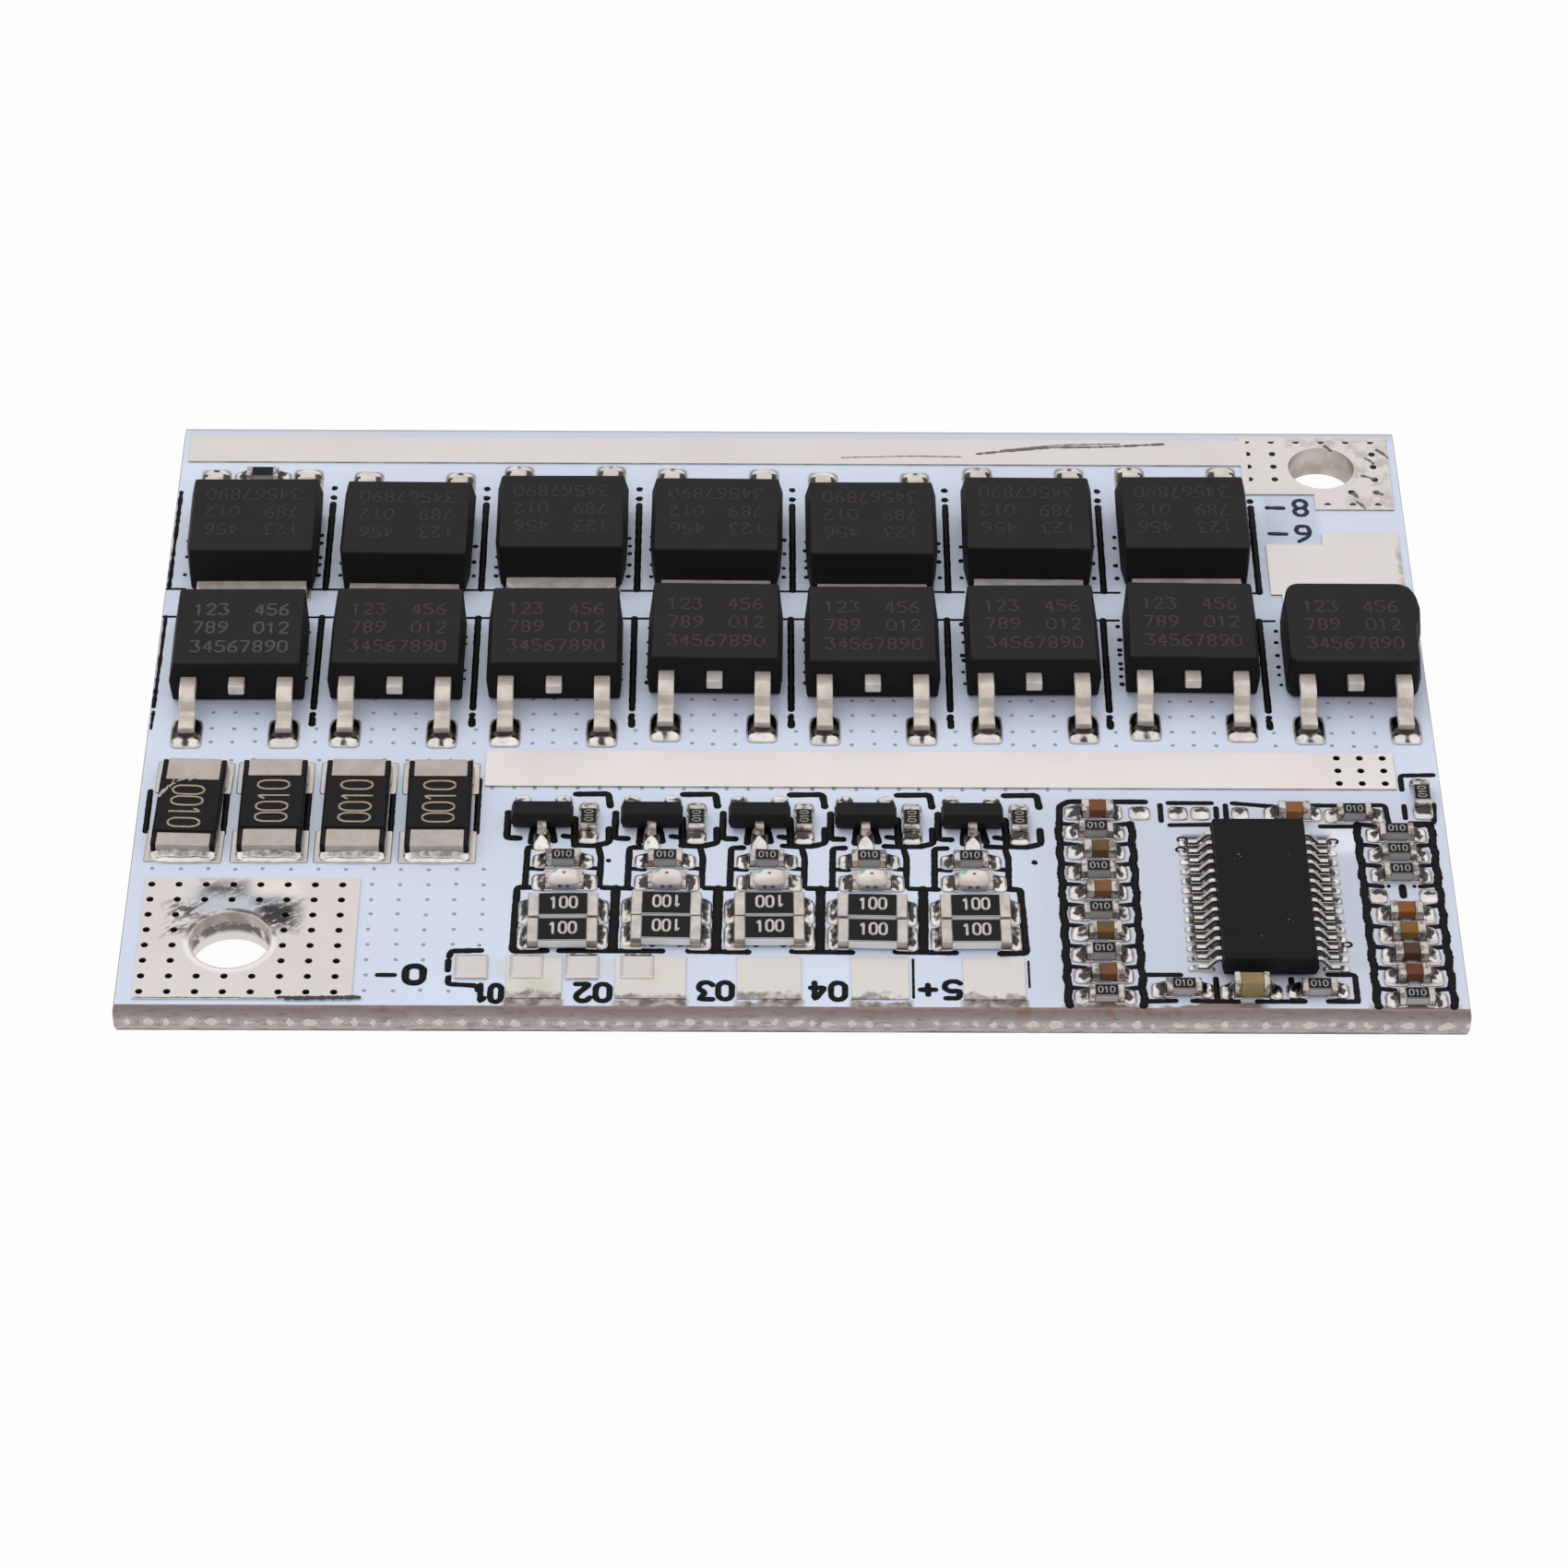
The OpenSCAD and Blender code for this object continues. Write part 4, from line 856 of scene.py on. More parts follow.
def silkscreen_round_controller(shape):
    print_lines(shape, [(0.26, *run) for run in (
        (47.6, 13.7, 47.6, 12.6), (48.0, 13.85, 50.0, 13.85), (48.0, 12.3, 49.9, 12.35),
        (50.2, 13.5, 50.2, 12.9), (50.65, 13.7, 50.65, 12.8), (51.0, 13.85, 53.0, 13.62),
        (54.7, 13.72, 56.0, 13.7), (56.2, 13.75, 58.1, 13.75, 58.2, 12.4),
        (55.0, 12.25, 56.6, 12.25), (59.0, 14.85, 59.0, 15.85, 60.55, 15.9),
        (59.0, 13.7, 59.0, 12.85), (59.2, 12.5, 60.3, 12.5, 60.4, 13.8))])
    print_lines(shape, [(0.28, *run) for run in (
        (46.4, 2.15, 47.9, 2.15), (49.5, 1.9, 49.5, 0.5), (52.9, 1.9, 52.9, 0.5),
        (54.6, 2.2, 55.8, 2.2, 55.8, 0.45), (46.4, 0.42, 47.6, 0.45), (48.4, 0.45, 50.4, 0.42),
        (51.3, 0.42, 53.4, 0.45), (54.5, 0.45, 55.7, 0.45))])
    for x, y in ((48.5, 11.3), (48.4, 10.6), (55.5, 11.2), (55.6, 4.2)):
        ring = [(x + 0.22 * math.cos(math.tau * k / 10), y + 0.16 * math.sin(math.tau * k / 10))
                for k in range(11)]
        stroke(shape, ring, 0.1, corner=0.02)


def silkscreen_numerals(shape):
    """Plain numerals and signs beside the terminals, read from the back of the board."""
    print_lines(shape, ((0.3, 16.3, 3.6, 14.95, 3.55, 14.88, 3.2), (0.3, 14.85, 2.9, 14.85, 2.3),
                        (0.28, 14.9, 1.8, 14.88, 1.38, 16.2, 1.28, 16.25, 1.0)))
    write(shape, "0", 13.35, 2.0, 1.1, 180, 0.34, stretch=1.2)
    print_lines(shape, [(0.25, 11.7, 1.96, 12.45, 1.96)])
    for text, x, y, stretch, pitch in (("01", 16.72, 0.78, 0.74, 0.85), ("02", 21.42, 0.86, 0.95, 0.85),
                                       ("03", 26.93, 1.0, 0.93, 0.85), ("04", 32.0, 1.0, 0.96, 0.85),
                                       ("5+", 37.05, 1.12, 1.05, 0.95)):
        write(shape, text, x, y, 1.1, 180, 0.28, stretch=stretch, pitch=pitch)


def silkscreen_rear_numerals(shape):
    for sign, y in (("8", 36.0), ("6", 33.95)):
        write(shape, sign, 55.75, y, 1.2, 180, 0.22, stretch=0.98)
        stroke(shape, [(54.1, y), (54.9, y - 0.03)], 0.24, ragged=0.2)


def make_silkscreen():
    lines = Shape()
    for draw in (silkscreen_between_mosfets, silkscreen_between_shunts, silkscreen_round_switches,
                 silkscreen_round_lamps, silkscreen_round_bleeders, silkscreen_chip_columns,
                 silkscreen_round_controller):
        draw(lines)
    for i in range(CHANNELS):
        for side in (-0.62, 0.62):
            dot(lines, BLEED_X + i * BLEED_STEP + side, 4.02, 0.15)
    ink = printed_ink("silkscreen_ink", (15, 15, 18))
    lines.piece("silkscreen_lines", ink, "laminate")
    signs = Shape()
    silkscreen_numerals(signs)
    signs.piece("silkscreen_numerals", ink, "laminate")
    rear = Shape()
    silkscreen_rear_numerals(rear)
    rear.piece("rear_numerals", printed_ink("thin_ink", (56, 58, 70)), "laminate")


def make_covered_vias():
    """Low domes where the mask covers a via."""
    shape = Shape()
    places = [(1.0 + 1.27 * k, 9.05) for k in range(13)]
    places += [(11.15 + 1.27 * i, 0.95 + 1.01 * j) for i in range(5) for j in range(8)]
    for i in range(FRONT_MOSFETS):
        start = 3.0 + i * MOSFET_STEP
        places += [(start + 1.02 * k, y) for k in range(3) for y in (17.95, 18.9, 20.05, 21.1)]
        places += [(start + 4.88, 17.95), (start + 4.9, 18.9)]
    places += [(16.4 + k, 14.74) for k in range(28)]
    places += [(2.0 + 1.03 * k, 16.67) for k in range(14)]
    for x, y in places:
        if x < 60.3:
            dot(shape, x + chance.uniform(-0.04, 0.04), y + chance.uniform(-0.04, 0.04), 0.1,
                thick=0.006)
    shape.piece("covered_vias", printed_ink("via_under_mask", (168, 178, 200), 0.3, 0.45), "laminate")


# Marks on the parts

def make_part_numerals():
    """Plain numerals printed on the bleed resistors, the small resistors and the shunts."""
    bleeders = Shape()
    bleed_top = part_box("bleed_resistors")[1][2] / MM
    slips = ((0, 0.18, 0.18, 0, 0), (0, 0.1, 0.1, 0, 0))
    turns = (0.8, -1, 0.5, -1.4, 0.6)
    for i in range(CHANNELS):
        for row, y in enumerate((4.45, 6.15)):
            turned = 180 if i == 1 or (i == 2 and row == 1) else 0
            write(bleeders, "100", BLEED_X + i * BLEED_STEP, y + slips[row][i] + 0.08, 0.74,
                  turns[i] + turned, 0.12, bleed_top, 0.01, 0.86, 0.7)
    bleeders.piece("bleed_resistor_numerals", printed_ink("resistor_print", (214, 208, 199)),
                   "resistor_coat")
    small = Shape()
    coat_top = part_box("chip_resistors")[1][2] / MM
    places = [(20.98 + i * SWITCH_STEP, 12.25, 90) for i in range(CHANNELS)]
    places += [(19.86 + i * BLEED_STEP, 9.6, 0) for i in range(CHANNELS)]
    places += [(44.5, 13.1 - k * COLUMN_STEP, 0) for k in (1, 3, 5, 7, 9)]
    places += [(58.45, 11.6 - k * COLUMN_STEP, 0) for k in (0, 1, 2, 8)]
    places += [(48.0, 1.1, 0), (54.1, 1.1, 0), (56.6, 12.95, 0), (59.85, 14.15, 90)]
    for x, y, turn in places:
        write(small, "010", x, y, 0.38, turn, 0.06, coat_top, 0.008, 0.84, 0.84)
    small.piece("chip_resistor_numerals", printed_ink("chip_print", (176, 172, 166)), "resistor_coat")
    shunts = Shape()
    for i, (turn, x, y) in enumerate(((-91.6, -0.1, 12.55), (90.3, 0, 12.95), (89.7, 0, 12.95),
                                      (90.2, 0, 12.95))):
        write(shunts, "0010", 2.4 + i * SHUNT_STEP + x, y, 1.48, turn, 0.1, SHUNT_TOP, 0.012, 0.75, 0.68)
    shunts.piece("shunt_numerals", printed_ink("shunt_print", (184, 170, 148)), "shunt_coat")


# How far each power transistor lies off its place, and how far it is turned
SLIP_X = (0.1, 0.03, 0, 0.05, 0, 0.09, 0.1, 0.25, 0.13, 0.11, 0.06, 0.1, 0.07, 0.19, 0.25)
SLIP_Y = (-0.5, -0.42, -0.32, 0.08, -0.12, 0.03, 0.25, 0.08, -0.38, -0.53, 0, -0.17, -0.42, 0, 0.1)
TURN_Z = (0.4, -0.3, 0.3, -0.6, 0.2, 0.5, -0.7, 0.4, 0.6, -0.5, 0.3, -0.4, 0.2, -0.3, 0.4)


def make_mosfet_numerals():
    """Three faint lines of plain numerals on each power transistor, greyer on the first."""
    inks = (("mosfet_numerals", (88, 86, 84)), ("mosfet_numerals_warm", (70, 63, 56)),
            ("mosfet_numerals_faint", (60, 56, 53)))
    marks = [Shape() for _ in inks]
    for i in range(FRONT_MOSFETS + REAR_MOSFETS):
        in_front = i < FRONT_MOSFETS
        x = 4 + (i if in_front else i - FRONT_MOSFETS) * MOSFET_STEP + SLIP_X[i]
        y = (21.3 if in_front else 35.7) + SLIP_Y[i]
        sign = 1 if in_front else -1
        turn = (0 if in_front else 180) + TURN_Z[i]
        shape = marks[0 if i == 0 else 1 if in_front else 2]
        for text, u, v in (("123", -1.45, 4.2), ("456", 1.45, 4.2), ("789", -1.4, 2.85),
                           ("012", 1.5, 2.85), ("34567890", 0.05, 1.45)):
            write(shape, text, x + sign * u, y + sign * v, 0.8, turn, 0.12, MOSFET_TOP, 0.006,
                  0.86, 0.86)
    for (name, colour), shape in zip(inks, marks):
        shape.piece(name, printed_ink(name + "_mark", colour), "moulding")


# Solder

def islands(mesh):
    """Separate solids of a mesh, each as a list of its points in millimetres."""
    keys = {}
    parent = []

    def find(a):
        while parent[a] != a:
            parent[a] = parent[parent[a]]
            a = parent[a]
        return a

    index = []
    for vertex in mesh.vertices:
        key = tuple(round(value / MM, 4) for value in vertex.co)
        if key not in keys:
            keys[key] = len(parent)
            parent.append(len(parent))
        index.append(keys[key])
    for polygon in mesh.polygons:
        corners = [index[v] for v in polygon.vertices]
        for corner in corners[1:]:
            parent[find(corner)] = find(corners[0])
    found = {}
    for key, number in keys.items():
        found.setdefault(find(number), []).append(Vector(key))
    return list(found.values())


def pool(shape, middle, turn, length, width, form, cells, seed, half=True, power=4.0, taper=1.0,
         patchy=0.75):
    """Solder over a rounded outline, with a straight side at u = 0 if it is a half. form gives the
    height and the share of residue and painted shade at a share of the length and of the width, and the
    rim is rolled down."""
    cos = math.cos(turn)
    sin = math.sin(turn)
    across, along = cells
    points = []
    soot = []
    for j in range(along + 1):
        for i in range(across + 1):
            u = i / across
            v = j / along
            edge = min(u, 1 - u, v, 1 - v)
            a = u if half else 2 * u - 1
            b = 2 * v - 1
            most = max(abs(a), abs(b))
            drawn = most / (abs(a) ** power + abs(b) ** power) ** (1 / power) if most else 1
            x = length * (a * drawn - 0.5 if half else a * drawn / 2)
            y = b * drawn * width / 2 * (taper + (1 - taper) * u ** 0.7)
            place = Vector((middle.x + x * cos - y * sin, middle.y + x * sin + y * cos))
            lump = noise.noise(Vector((place.x * 2.3, place.y * 2.3, seed)))
            blot = noise.noise(Vector((place.x * 4.2, place.y * 4.2, seed + 0.5)))
            tall, dark = form(u, v)
            high = TOP + 0.02 if edge <= 0 else SEAT + max(0.012, tall * (1 + 0.22 * lump))
            points.append((place.x - LEFT, place.y - FRONT, high))
            soot.append(min(1.0, max(0.0, dark + patchy * blot)))
    top = len(points)
    points += [(x, y, TOP - BED) for x, y, z in points]
    row = across + 1
    faces = []
    for j in range(along):
        for a in range(j * row, j * row + across):
            faces.append([a, a + 1, a + row + 1, a + row])
            faces.append([top + a, top + a + row, top + a + row + 1, top + a + 1])
    rim = list(range(across + 1))
    rim += [j * row + across for j in range(1, along + 1)]
    rim += [along * row + i for i in range(across - 1, -1, -1)]
    rim += [j * row for j in range(along - 1, 0, -1)]
    faces += [[b, a, top + a, top + b] for a, b in zip(rim, rim[1:] + rim[:1])]
    shape.add(points, faces, soot + soot)


def within(value):
    return max(0.0, min(1.0, value))


def fillet_form(tall, reach, dark, bead=0.05):
    """Hollow fillet that climbs to tall at u = 0, with residue and painted shade as far as reach, for
    the dark that the hollow reflects near the part, and a bead along its rim that carries neither."""
    def form(u, v):
        edge = min(v, 1 - v)
        climb = tall * (1 - u) ** 2.4 * (0.3 + 0.7 * max(0.0, 1 - abs(2 * v - 1) ** 3))
        beaded = bead * math.exp(-((u - 0.74) / 0.16) ** 2) * min(1.0, 5 * edge)
        spared = within((edge - 0.03) / 0.12)
        return climb + beaded + 0.02, dark * within(2.4 - 2.4 * u / reach) * (0.25 + 0.75 * spared)
    return form


def foot_form(tall, share, end, dark, open_middle):
    """Joint round a foot that covers that share of the width as far as end: residue and painted shade
    beside the foot, and a bead in front of it that carries neither, with painted shade across its middle
    on some pads."""
    def form(u, v):
        side = abs(2 * v - 1)
        aside = max(0.0, side - share) / (1 - share)
        beyond = max(0.0, u - end) / (1 - end)
        fall = max(0.0, 1 - math.hypot(aside, beyond))
        bead = 0.13 * math.exp(-((u - 0.84) / 0.09) ** 2) * max(0.0, 1 - side ** 4)
        height = 0.6 * tall * fall ** 1.8 + bead + 0.05 * min(1.0, 6 * min(u, 1 - u, v, 1 - v))
        soot = dark * within((0.78 - u) / 0.08)
        # Painted shade across the middle of the bead on some pads
        if open_middle and u > 0.7:
            soot = max(soot, 0.8 * max(0.0, 1 - side / 0.42))
        # Painted mid-grey shade along the outer rim
        if side > 0.86 or u > 0.95:
            soot = max(0.42, 0.5 * soot)
        return height, soot
    return form


def low_mound(u, v):
    """Flat dome of solder in front of a small transistor, with faint painted shade that grows towards u
    = 0.
    """
    return 0.02 + 0.26 * math.sin(math.pi * u) * math.sin(math.pi * v), 0.1 * (1 - u)


def bare_mound(u, v):
    """Dome of solder on a pad that carries no part, with painted shade along its middle."""
    return (0.11 * math.sin(math.pi * u) * math.sin(math.pi * v),
            1.2 * math.exp(-((v - 0.6) / 0.22) ** 2) * math.exp(-((u - 0.5) / 0.35) ** 2))


def make_bulged_body():
    """The last front transistor: worn round at its rear corners, with a bulge on its right side."""
    name = "mosfet_body_08"
    low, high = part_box(name)
    low = Vector(low) / MM
    high = Vector(high) / MM
    wide = high.x - low.x - 0.3
    deep = high.y - low.y
    path = [(0.3, 0), (0, 0.3), (0, deep - 1.5), (0.2, deep - 0.3), (0.55, deep), (wide - 0.55, deep),
            (wide - 0.1, deep - 0.25), (wide + 0.2, deep - 0.95), (wide + 0.32, deep - 1.9),
            (wide + 0.24, deep - 2.6), (wide, deep - 3.1), (wide, 0.3), (wide - 0.3, 0), (0.3, 0)]
    line = rounded([Vector(point) for point in path], 0.22)[-2::-1]
    middle = Vector((wide / 2, deep / 2))
    rings = []
    for share, inset in ((0, 0.12), (0.06, 0.06), (0.4, 0), (0.94, 0.12), (0.98, 0.15), (1, 0.21)):
        rings.append([])
        for p in line:
            away = p - middle
            q = p - away * (2 * inset / (wide if abs(away.x) / wide > abs(away.y) / deep else deep))
            rings[-1].append((low.x - LEFT + q.x, low.y - FRONT + q.y, low.z + share * (high.z - low.z)))
    shape = Shape()
    shape.stack(rings)
    made = shape.piece("bulged_body", bpy.data.materials["transistor_moulding"], "moulding")
    made.modifiers.new("normals", "WEIGHTED_NORMAL").keep_sharp = True
    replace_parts(made, name)


def make_pads():
    """Pads with round corners and a rolled rim, narrower below the fine leads."""
    shape = Shape()
    for points in islands(nodes["component_pads"].data):
        loop = [Vector(corner) for corner in sorted({(round(p.x, 3), round(p.y, 3)) for p in points})]
        middle = sum(loop, Vector((0, 0))) / len(loop)
        loop.sort(key=lambda corner: math.atan2(corner.y - middle.y, corner.x - middle.x))
        least = min((b - a).length for a, b in zip(loop, loop[1:] + loop[:1]))
        narrow = 0.76 if least < 0.4 else 1.0
        loop = [Vector((p.x, middle.y + (p.y - middle.y) * narrow)) for p in loop]
        cut = min(0.3 if least < 1.7 else 0.12, 0.34 * least)
        ring = []
        for before, corner, after in zip(loop[-1:] + loop[:-1], loop, loop[1:] + loop[:1]):
            start = corner + (before - corner).normalized() * cut
            end = corner + (after - corner).normalized() * cut
            ring += [start.lerp(corner, t).lerp(corner.lerp(end, t), t) for t in (0, 0.25, 0.5, 0.75, 1)]
        rings = []
        for inset, level in ((0, TOP - BED), (0, SEAT - 0.03), (0.03, SEAT), (0.08, SEAT)):
            share = 1 - 2 * inset / least
            rings.append([(middle.x + (p.x - middle.x) * share - LEFT,
                           middle.y + (p.y - middle.y) * share - FRONT, level) for p in ring])
        shape.stack(rings)
    tin = bright_metal("pad_tin", (214, 206, 201), (200, 192, 187), 0.25, 0.45)
    made = shape.piece("rounded_pads", tin, "tinned_copper")
    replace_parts(made, "component_pads")


def make_lamps():
    """Lamps: a low base and a rounded lens over it, each in place of a plain one."""
    lens = lamp_lens()
    layers = [(0.9, 0.42, SEAT), (0.9, 0.44, SEAT + 0.24)]
    for k in range(9):
        climb = k / 8.4 * math.pi / 2
        share = math.cos(climb) ** 0.5
        layers.append((0.75 * share, 0.46 * share, SEAT + 0.26 + 0.42 * math.sin(climb)))
    turns = [(math.cos(math.tau * k / 32), math.sin(math.tau * k / 32)) for k in range(32)]
    for i in range(CHANNELS):
        low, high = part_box("balance_led_%d" % (i + 1))
        x = (low[0] + high[0]) / 2 / MM - LEFT
        y = (low[1] + high[1]) / 2 / MM - FRONT
        shape = Shape()
        shape.stack([[(x + wide * math.copysign(abs(cos) ** 0.55, cos),
                       y - 0.08 + deep * math.copysign(abs(sin) ** 0.6, sin), level)
                      for cos, sin in turns] for wide, deep, level in layers])
        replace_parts(shape.piece("lamp_%d" % (i + 1), lens, "lens"), "balance_led_%d" % (i + 1))


# Pads that carry solder and no part, as x, y, width and depth
BARE_PADS = ((46.6, 13.1, 1.0, 0.9), (48.4, 13.1, 0.9, 0.9), (49.45, 13.1, 0.9, 0.9),
             (51.3, 13.1, 0.8, 0.9), (57.3, 7.445, 0.85, 0.95), (59.6, 7.445, 0.85, 0.95))


def make_solder():
    """Solder pools in place of the plain joints, each on its own pad."""
    shape = Shape()
    for number, points in enumerate(islands(nodes["solder_joints"].data)):
        low = Vector([min(p[k] for p in points) for k in range(3)])
        high = Vector([max(p[k] for p in points) for k in range(3)])
        middle = (low + high) / 2
        size = high - low
        if 1.1 < size.x < 1.6 and size.y > 1.6:
            turn = math.pi / 2 if middle.y > FRONT + 30 else -math.pi / 2
            pool(shape, middle, turn, size.y + 0.12, size.x + 0.16,
                 foot_form(size.z, 0.52, 0.55, 1.0, number % 3 != 2), (18, 15), number,
                 half=False, power=4.5, patchy=0.35)
            continue
        crest = [p for p in points if p.z > high.z - 0.02]
        lean = sum(crest, Vector()) / len(crest) - middle
        if abs(lean.x) > abs(lean.y):
            turn = math.pi if lean.x > 0 else 0.0
            length, width = size.x, size.y
        else:
            turn = -math.pi / 2 if lean.y > 0 else math.pi / 2
            length, width = size.y, size.x
        outward = Vector((math.cos(turn), math.sin(turn), 0))
        power, taper, patchy = 4.0, 1.0, 0.75
        if width > 2.5:
            cover, wider, form, cells = 0.2, 0.04, fillet_form(0.9 * size.z, 0.66, 0.5, 0.13), (18, 30)
            power, patchy = 2.8, 0.12
        elif width > 1.3:
            cover, wider, form, cells = 0.14, 0.1, fillet_form(size.z, 0.95, 0.72, 0.08), (12, 18)
            patchy = 0.5
        elif width > 0.6:
            cover, wider, form, cells = 0.14, 0.18, fillet_form(size.z, 0.8, 0.85, 0.08), (12, 13)
        elif width > 0.35 and turn < 0:
            cover, wider, form, cells = 1.0, 0.5, low_mound, (12, 12)
            taper = 0.55
            middle -= outward * 0.12
        elif width > 0.35:
            cover, wider, form, cells = 0.6, 0.42, foot_form(0.1, 0.5, 0.5, 0.6, False), (12, 12)
            middle += outward * 0.02
        else:
            cover, wider, form, cells = 0.17, 0.12, fillet_form(size.z, 0.7, 0.8), (8, 7)
        if width > 0.6 or width < 0.35:
            middle += outward * (cover / 2 - 0.02)
        pool(shape, middle, turn, length + cover, width + wider, form, cells, number, width > 0.6,
             power, taper, patchy)
    for k, (x, y, wide, deep) in enumerate(BARE_PADS):
        pool(shape, metres(x, y) / MM, 0.0, wide + 0.04, deep + 0.04, bare_mound, (12, 12), 700 + k,
             half=False)
    made = shape.piece("solder_pools", fluid_solder(), "solder")
    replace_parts(made, "solder_joints")


# Wear

def make_burnt_flux():
    """Dark crumbs of flux at the front of the battery land, and smears on the charger land."""
    crumbs = Shape()
    for k in range(9):
        x = 7.3 + 0.38 * k
        y = 0.38 + chance.uniform(-0.05, 0.05)
        stroke(crumbs, [(x, y), (x + 0.3, y + 0.03), (x + 0.6, y)], chance.uniform(0.12, 0.24), LAND_TOP,
               0.012, 0.3, 0.1)
    crumbs.piece("burnt_flux", printed_ink("burnt_flux", (84, 81, 82), 0.5, 0.75), "tinned_copper")
    smears = Shape()
    for x, y, dx, dy in ((59.3, 39.9, 0.35, -0.4), (58.6, 36.4, 0.35, -0.5), (59.0, 38.5, 0.6, -0.3),
                         (59.9, 40.6, 0.5, -0.6), (58.4, 37.1, 0.25, -0.3), (57.3, 40.9, 0.3, -0.4),
                         (59.5, 37.2, 0.4, -0.2)):
        stroke(smears, [(x, y), (x + dx / 2, y + dy / 2 + 0.08), (x + dx, y + dy)], 0.14, LAND_TOP,
               0.01, 0.5)
    smears.piece("rear_smears", printed_ink("rear_smear", (126, 119, 116), 0.5, 0.75), "tinned_copper")


def make_scratches():
    """Long scratches on the rear busbar and the worn front rim of the battery land, and pale ones
    with a few chips on the black coats."""
    dark = Shape()
    print_lines(dark, ((0.14, 39.8, 40.15, 43.5, 40.7, 46.2, 40.75, 49.2, 41.0),
                       (0.08, 41.0, 40.45, 44.0, 40.9, 47.0, 41.0),
                       (0.06, 33.0, 39.8, 36.5, 39.95, 39.0, 39.9)), 0.0, LAND_TOP, 0.006,
                ragged=0.5, corner=0.6)
    path = [(0.85 + 0.45 * k, 0.36 + chance.uniform(-0.02, 0.02)) for k in range(15)]
    stroke(dark, path, 0.05, LAND_TOP, 0.006, 0.5, 0.05)
    dark.piece("busbar_scratches", printed_ink("scratch_shadow", (128, 122, 122)), "tinned_copper")
    pale = Shape()
    print_lines(pale, ((0.15, 1.0, 13.25, 1.15, 13.6, 1.3, 13.75),
                       (0.07, 1.2, 13.5, 1.35, 13.95, 1.65, 14.15), (0.05, 1.45, 13.85, 1.6, 14.4),
                       (0.06, 1.75, 14.3, 2.2, 14.5), (0.05, 2.3, 14.35, 2.6, 14.55)),
                0.0, SHUNT_TOP, 0.013, ragged=0.5, corner=0.02, step=0.1)
    pale.piece("shunt_scratches", printed_ink("pale_scratch", (196, 190, 184)), "shunt_coat")
    specks = Shape()
    chip_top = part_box("controller_body")[1][2] / MM
    for x, y, radius in ((50.9, 9.0, 0.06), (51.0, 8.85, 0.04), (52.9, 4.6, 0.05), (52.6, 11.6, 0.05),
                         (51.6, 3.5, 0.04), (50.7, 8.7, 0.03), (53.1, 4.45, 0.03), (53.2, 9.0, 0.03)):
        dot(specks, x, y, radius, chip_top, 0.006, 7)
    specks.piece("controller_specks", printed_ink("dust", (120, 118, 116)), "moulding")


# Light, floor and world

FLOOR_GLOW = 0.96
FLOOR_REACH = 3.0
# The floor lies a hair inside the board, so that the underside is not in its plane
FLOOR_LIFT = 0.00001
DOME = 0.74
# Strength of what gloss sees near the horizon
LOW_SHEEN = 0.12
KEY_WATTS = 3.2
KEY_SIZE = 0.9
KEY_PLACE = Vector((-0.42, 0.5, 0.85))


def make_studio():
    world = bpy.data.worlds.new("studio")
    bpy.context.scene.world = world
    world.use_nodes = True
    wires = Wires(world.node_tree)
    background = world.node_tree.nodes["Background"].inputs
    wires.feed(background["Color"], (1, 1, 1, 1))
    # What gloss sees is bright overhead and dark low down, which draws the slopes of the solder
    up = abs(wires.axes(wires.signal("TexCoord", output="Generated"))[2])
    sheen = up.rise(0.0, 0.5).spread(LOW_SHEEN, 1.0)
    level = wires.rays("Is Glossy Ray", "Is Transmission Ray").spread(DOME, sheen)
    wires.feed(background["Strength"], wires.rays("Is Camera Ray").spread(level, 1.0))
    data = bpy.data.lights.new("key", "AREA")
    data.size = KEY_SIZE
    data.energy = KEY_WATTS
    key = place_object("key", data)
    key.location = KEY_PLACE
    key.rotation_euler = KEY_PLACE.to_track_quat("Z", "Y").to_euler()
    key.visible_glossy = False
    mesh = bpy.data.meshes.new("floor")
    mesh.from_pydata([(x * FLOOR_REACH, y * FLOOR_REACH, FLOOR_LIFT)
                      for x, y in ((-1, -1), (1, -1), (1, 1), (-1, 1))], [], [[0, 1, 2, 3]])
    mesh.materials.append(paper_white())
    floor = place_object("floor", mesh)
    bpy.context.scene.view_settings.view_transform = "Standard"


# Finishes of the construction's own pieces

def soften(piece, width, segments, dissolve):
    """Small round edges on a solid of the construction."""
    piece.modifiers.new("weld", "WELD").merge_threshold = 1e-6
    if dissolve:
        faces = piece.modifiers.new("faces", "DECIMATE")
        faces.decimate_type = "DISSOLVE"
        faces.angle_limit = math.radians(1)
    bevel = piece.modifiers.new("edges", "BEVEL")
    bevel.width = width * MM
    bevel.segments = segments
    bevel.limit_method = "ANGLE"
    bevel.angle_limit = math.radians(25)
    bevel.harden_normals = False
    piece.modifiers.new("normals", "WEIGHTED_NORMAL").keep_sharp = True


def dress(names, material, edge=0.0, segments=2, dissolve=True):
    for name in names:
        piece = nodes[name]
        piece.data.materials.clear()
        piece.data.materials.append(material)
        if edge:
            soften(piece, edge, segments, dissolve)


def numbered(stem, count, digits=1):
    return ["%s_%0*d" % (stem, digits, k + 1) for k in range(count)]


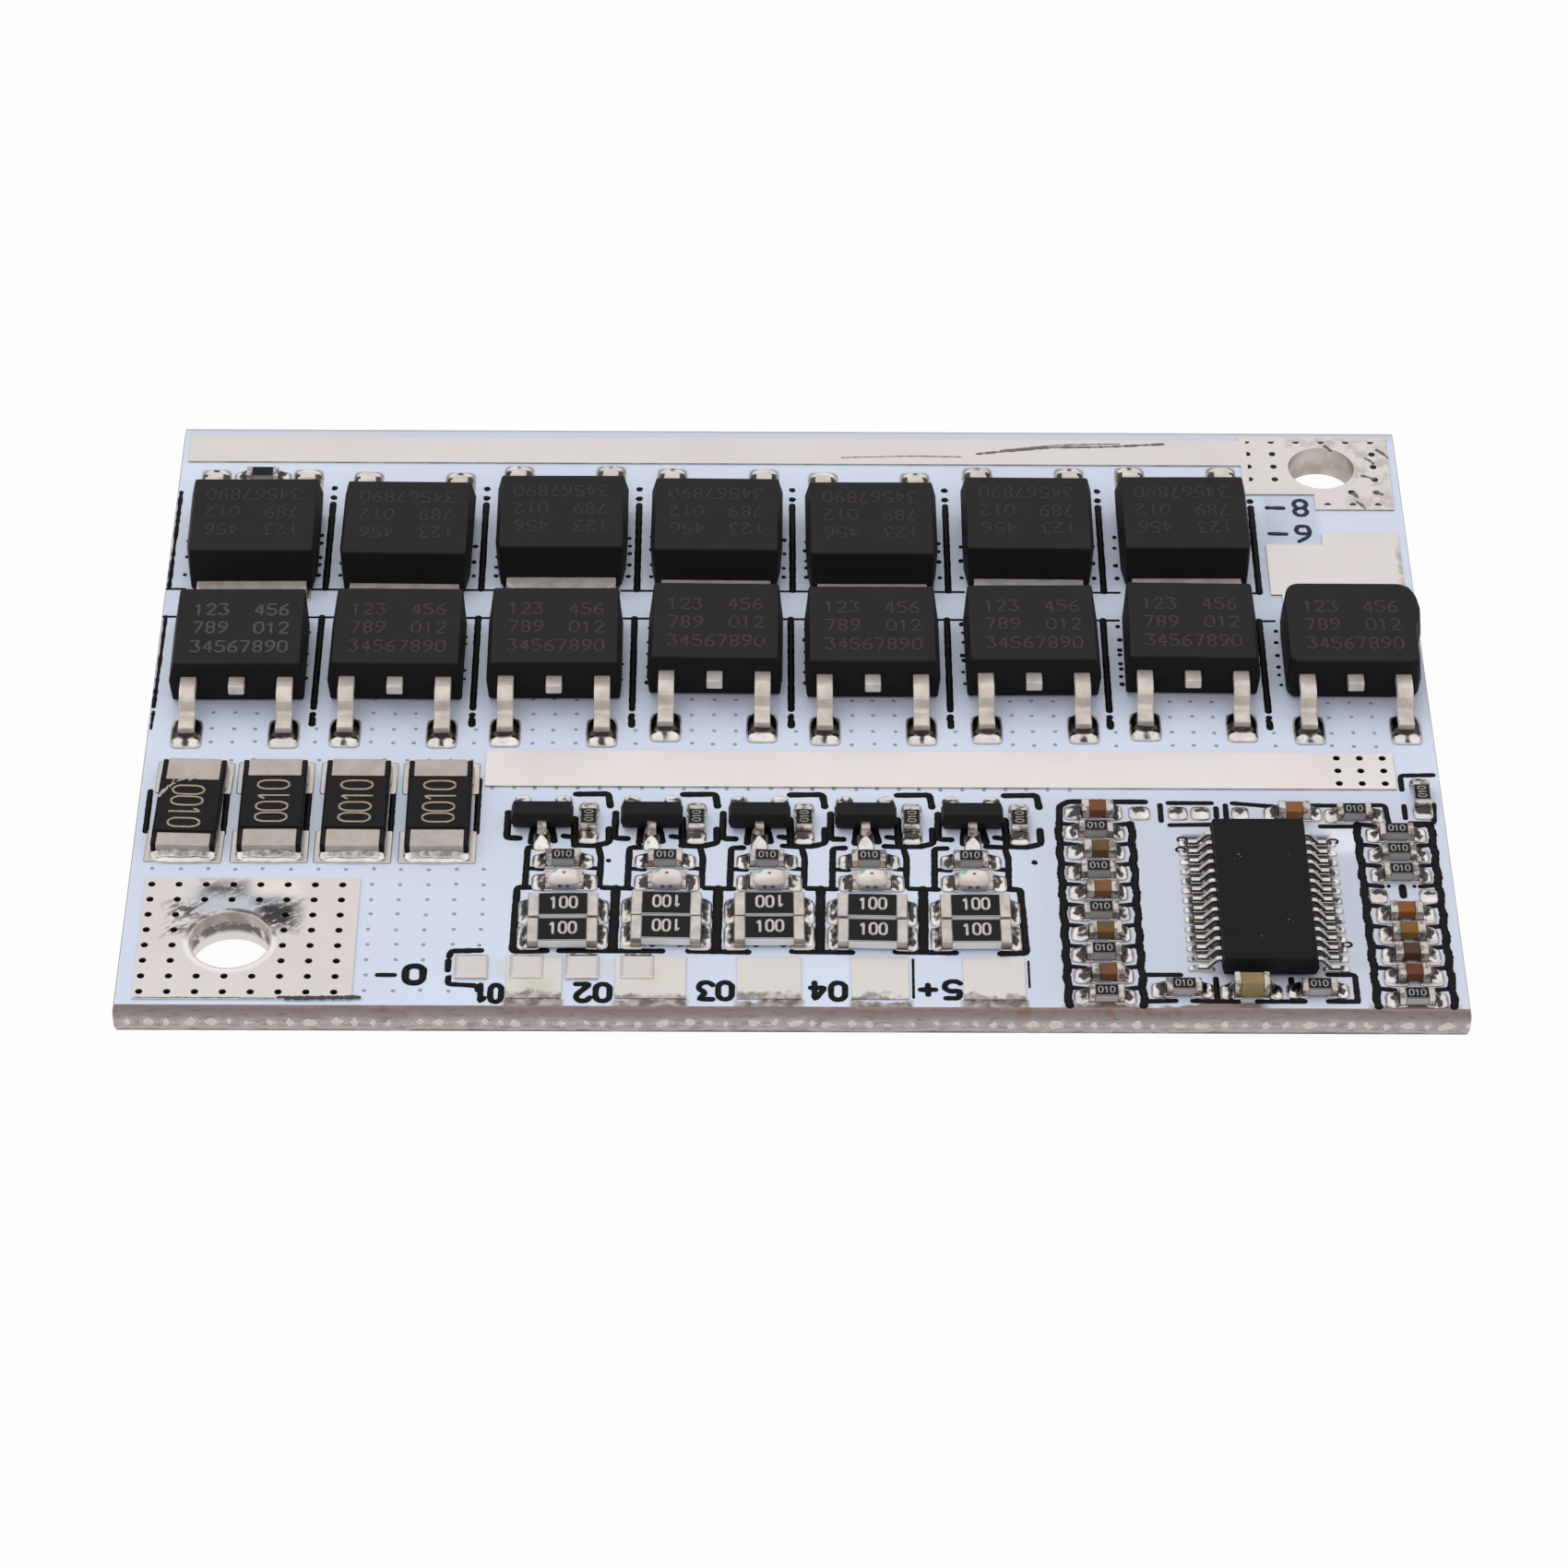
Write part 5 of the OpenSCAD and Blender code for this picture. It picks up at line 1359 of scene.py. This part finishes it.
def dress_construction():
    mosfets = FRONT_MOSFETS + REAR_MOSFETS
    dress(["circuit_board"], solder_mask())
    dress(["battery_terminal_land"], worn_battery_land())
    dress(["charger_terminal_land", "pack_terminal_land"],
          tinned_land("land_tin", (228, 221, 219), (221, 214, 211),
                      ((58.2, 60.9, 35.8, 41.4, 0.6, 0.42, (150, 142, 138)),
                       (55.4, 58.2, 40.8, 41.6, 0.4, 0.42, (160, 152, 148)),
                       (60.2, 60.6, 28.0, 33.0, 0.2, 0.6, (150, 142, 138)))))
    dress(["front_busbar"], tinned_land("front_land_tin", (238, 231, 229), (230, 223, 220)))
    dress(["cell_tap_pads"], tap_tin(), 0.03)
    # Power transistors: painted light on the top, which is greyer than the sides
    dress(numbered("mosfet_body", mosfets, 2),
          moulded_black("transistor_moulding", (40, 38, 39), (25, 24, 25), 0.5, 0.68), 0.09)
    dress(numbered("mosfet_frame", mosfets, 2),
          bright_metal("lead_frame_plate", (234, 224, 216), (202, 190, 182), 0.28, 0.42,
                       metallic=0.35), 0.06)
    dress(numbered("shunt", 4), shunt_coating(), 0.06, dissolve=False)
    dress(["shunt_end_caps"], bright_metal("end_cap_plate", (194, 183, 174), (176, 165, 157), 0.3, 0.45,
                                           metallic=0.7), 0.08)
    dress(["chip_end_caps"], bright_metal("chip_cap_plate", (218, 210, 203), (190, 181, 174), 0.25, 0.4,
                                          metallic=0.8, grime=0.75), 0.07, 3)
    # Controller: painted light and shade, with the sides a little lighter than the top
    dress(["controller_body"], moulded_black("controller_moulding", (19, 18, 19), (23, 22, 23)), 0.16, 3)
    # Small transistors: painted light and shade, with the sides a little lighter than the top to even
    # out the light that falls on them
    dress(numbered("switch_body", CHANNELS),
          moulded_black("switch_moulding", (27, 26, 29), (31, 30, 32)), 0.05)
    # The controller's fine leads get painted shade on their sides that face front and back
    dress(["controller_leads"], bright_metal("fine_lead_plate", (236, 231, 226), (206, 200, 194), 0.2,
                                             0.35, metallic=0.6, flank_shade=0.9), 0.03)
    dress(["switch_leads"], bright_metal("switch_lead_plate", (206, 199, 193), (160, 152, 146), 0.2,
                                         0.35, metallic=0.6, grime=0.8), 0.03)
    dress(["bleed_resistors"], fired_coat("bleed_coat", (20, 19, 20), (232, 231, 232)), 0.03)
    dress(["chip_resistors"], fired_coat("chip_coat", (20, 19, 20), (170, 166, 164)), 0.02)
    dress(["chip_capacitors"], capacitor_ceramic(), 0.03)


make_camera()
make_studio()
dress_construction()
make_silkscreen()
make_covered_vias()
make_part_numerals()
make_mosfet_numerals()
make_pads()
make_bulged_body()
make_lamps()
make_solder()
make_burnt_flux()
make_scratches()
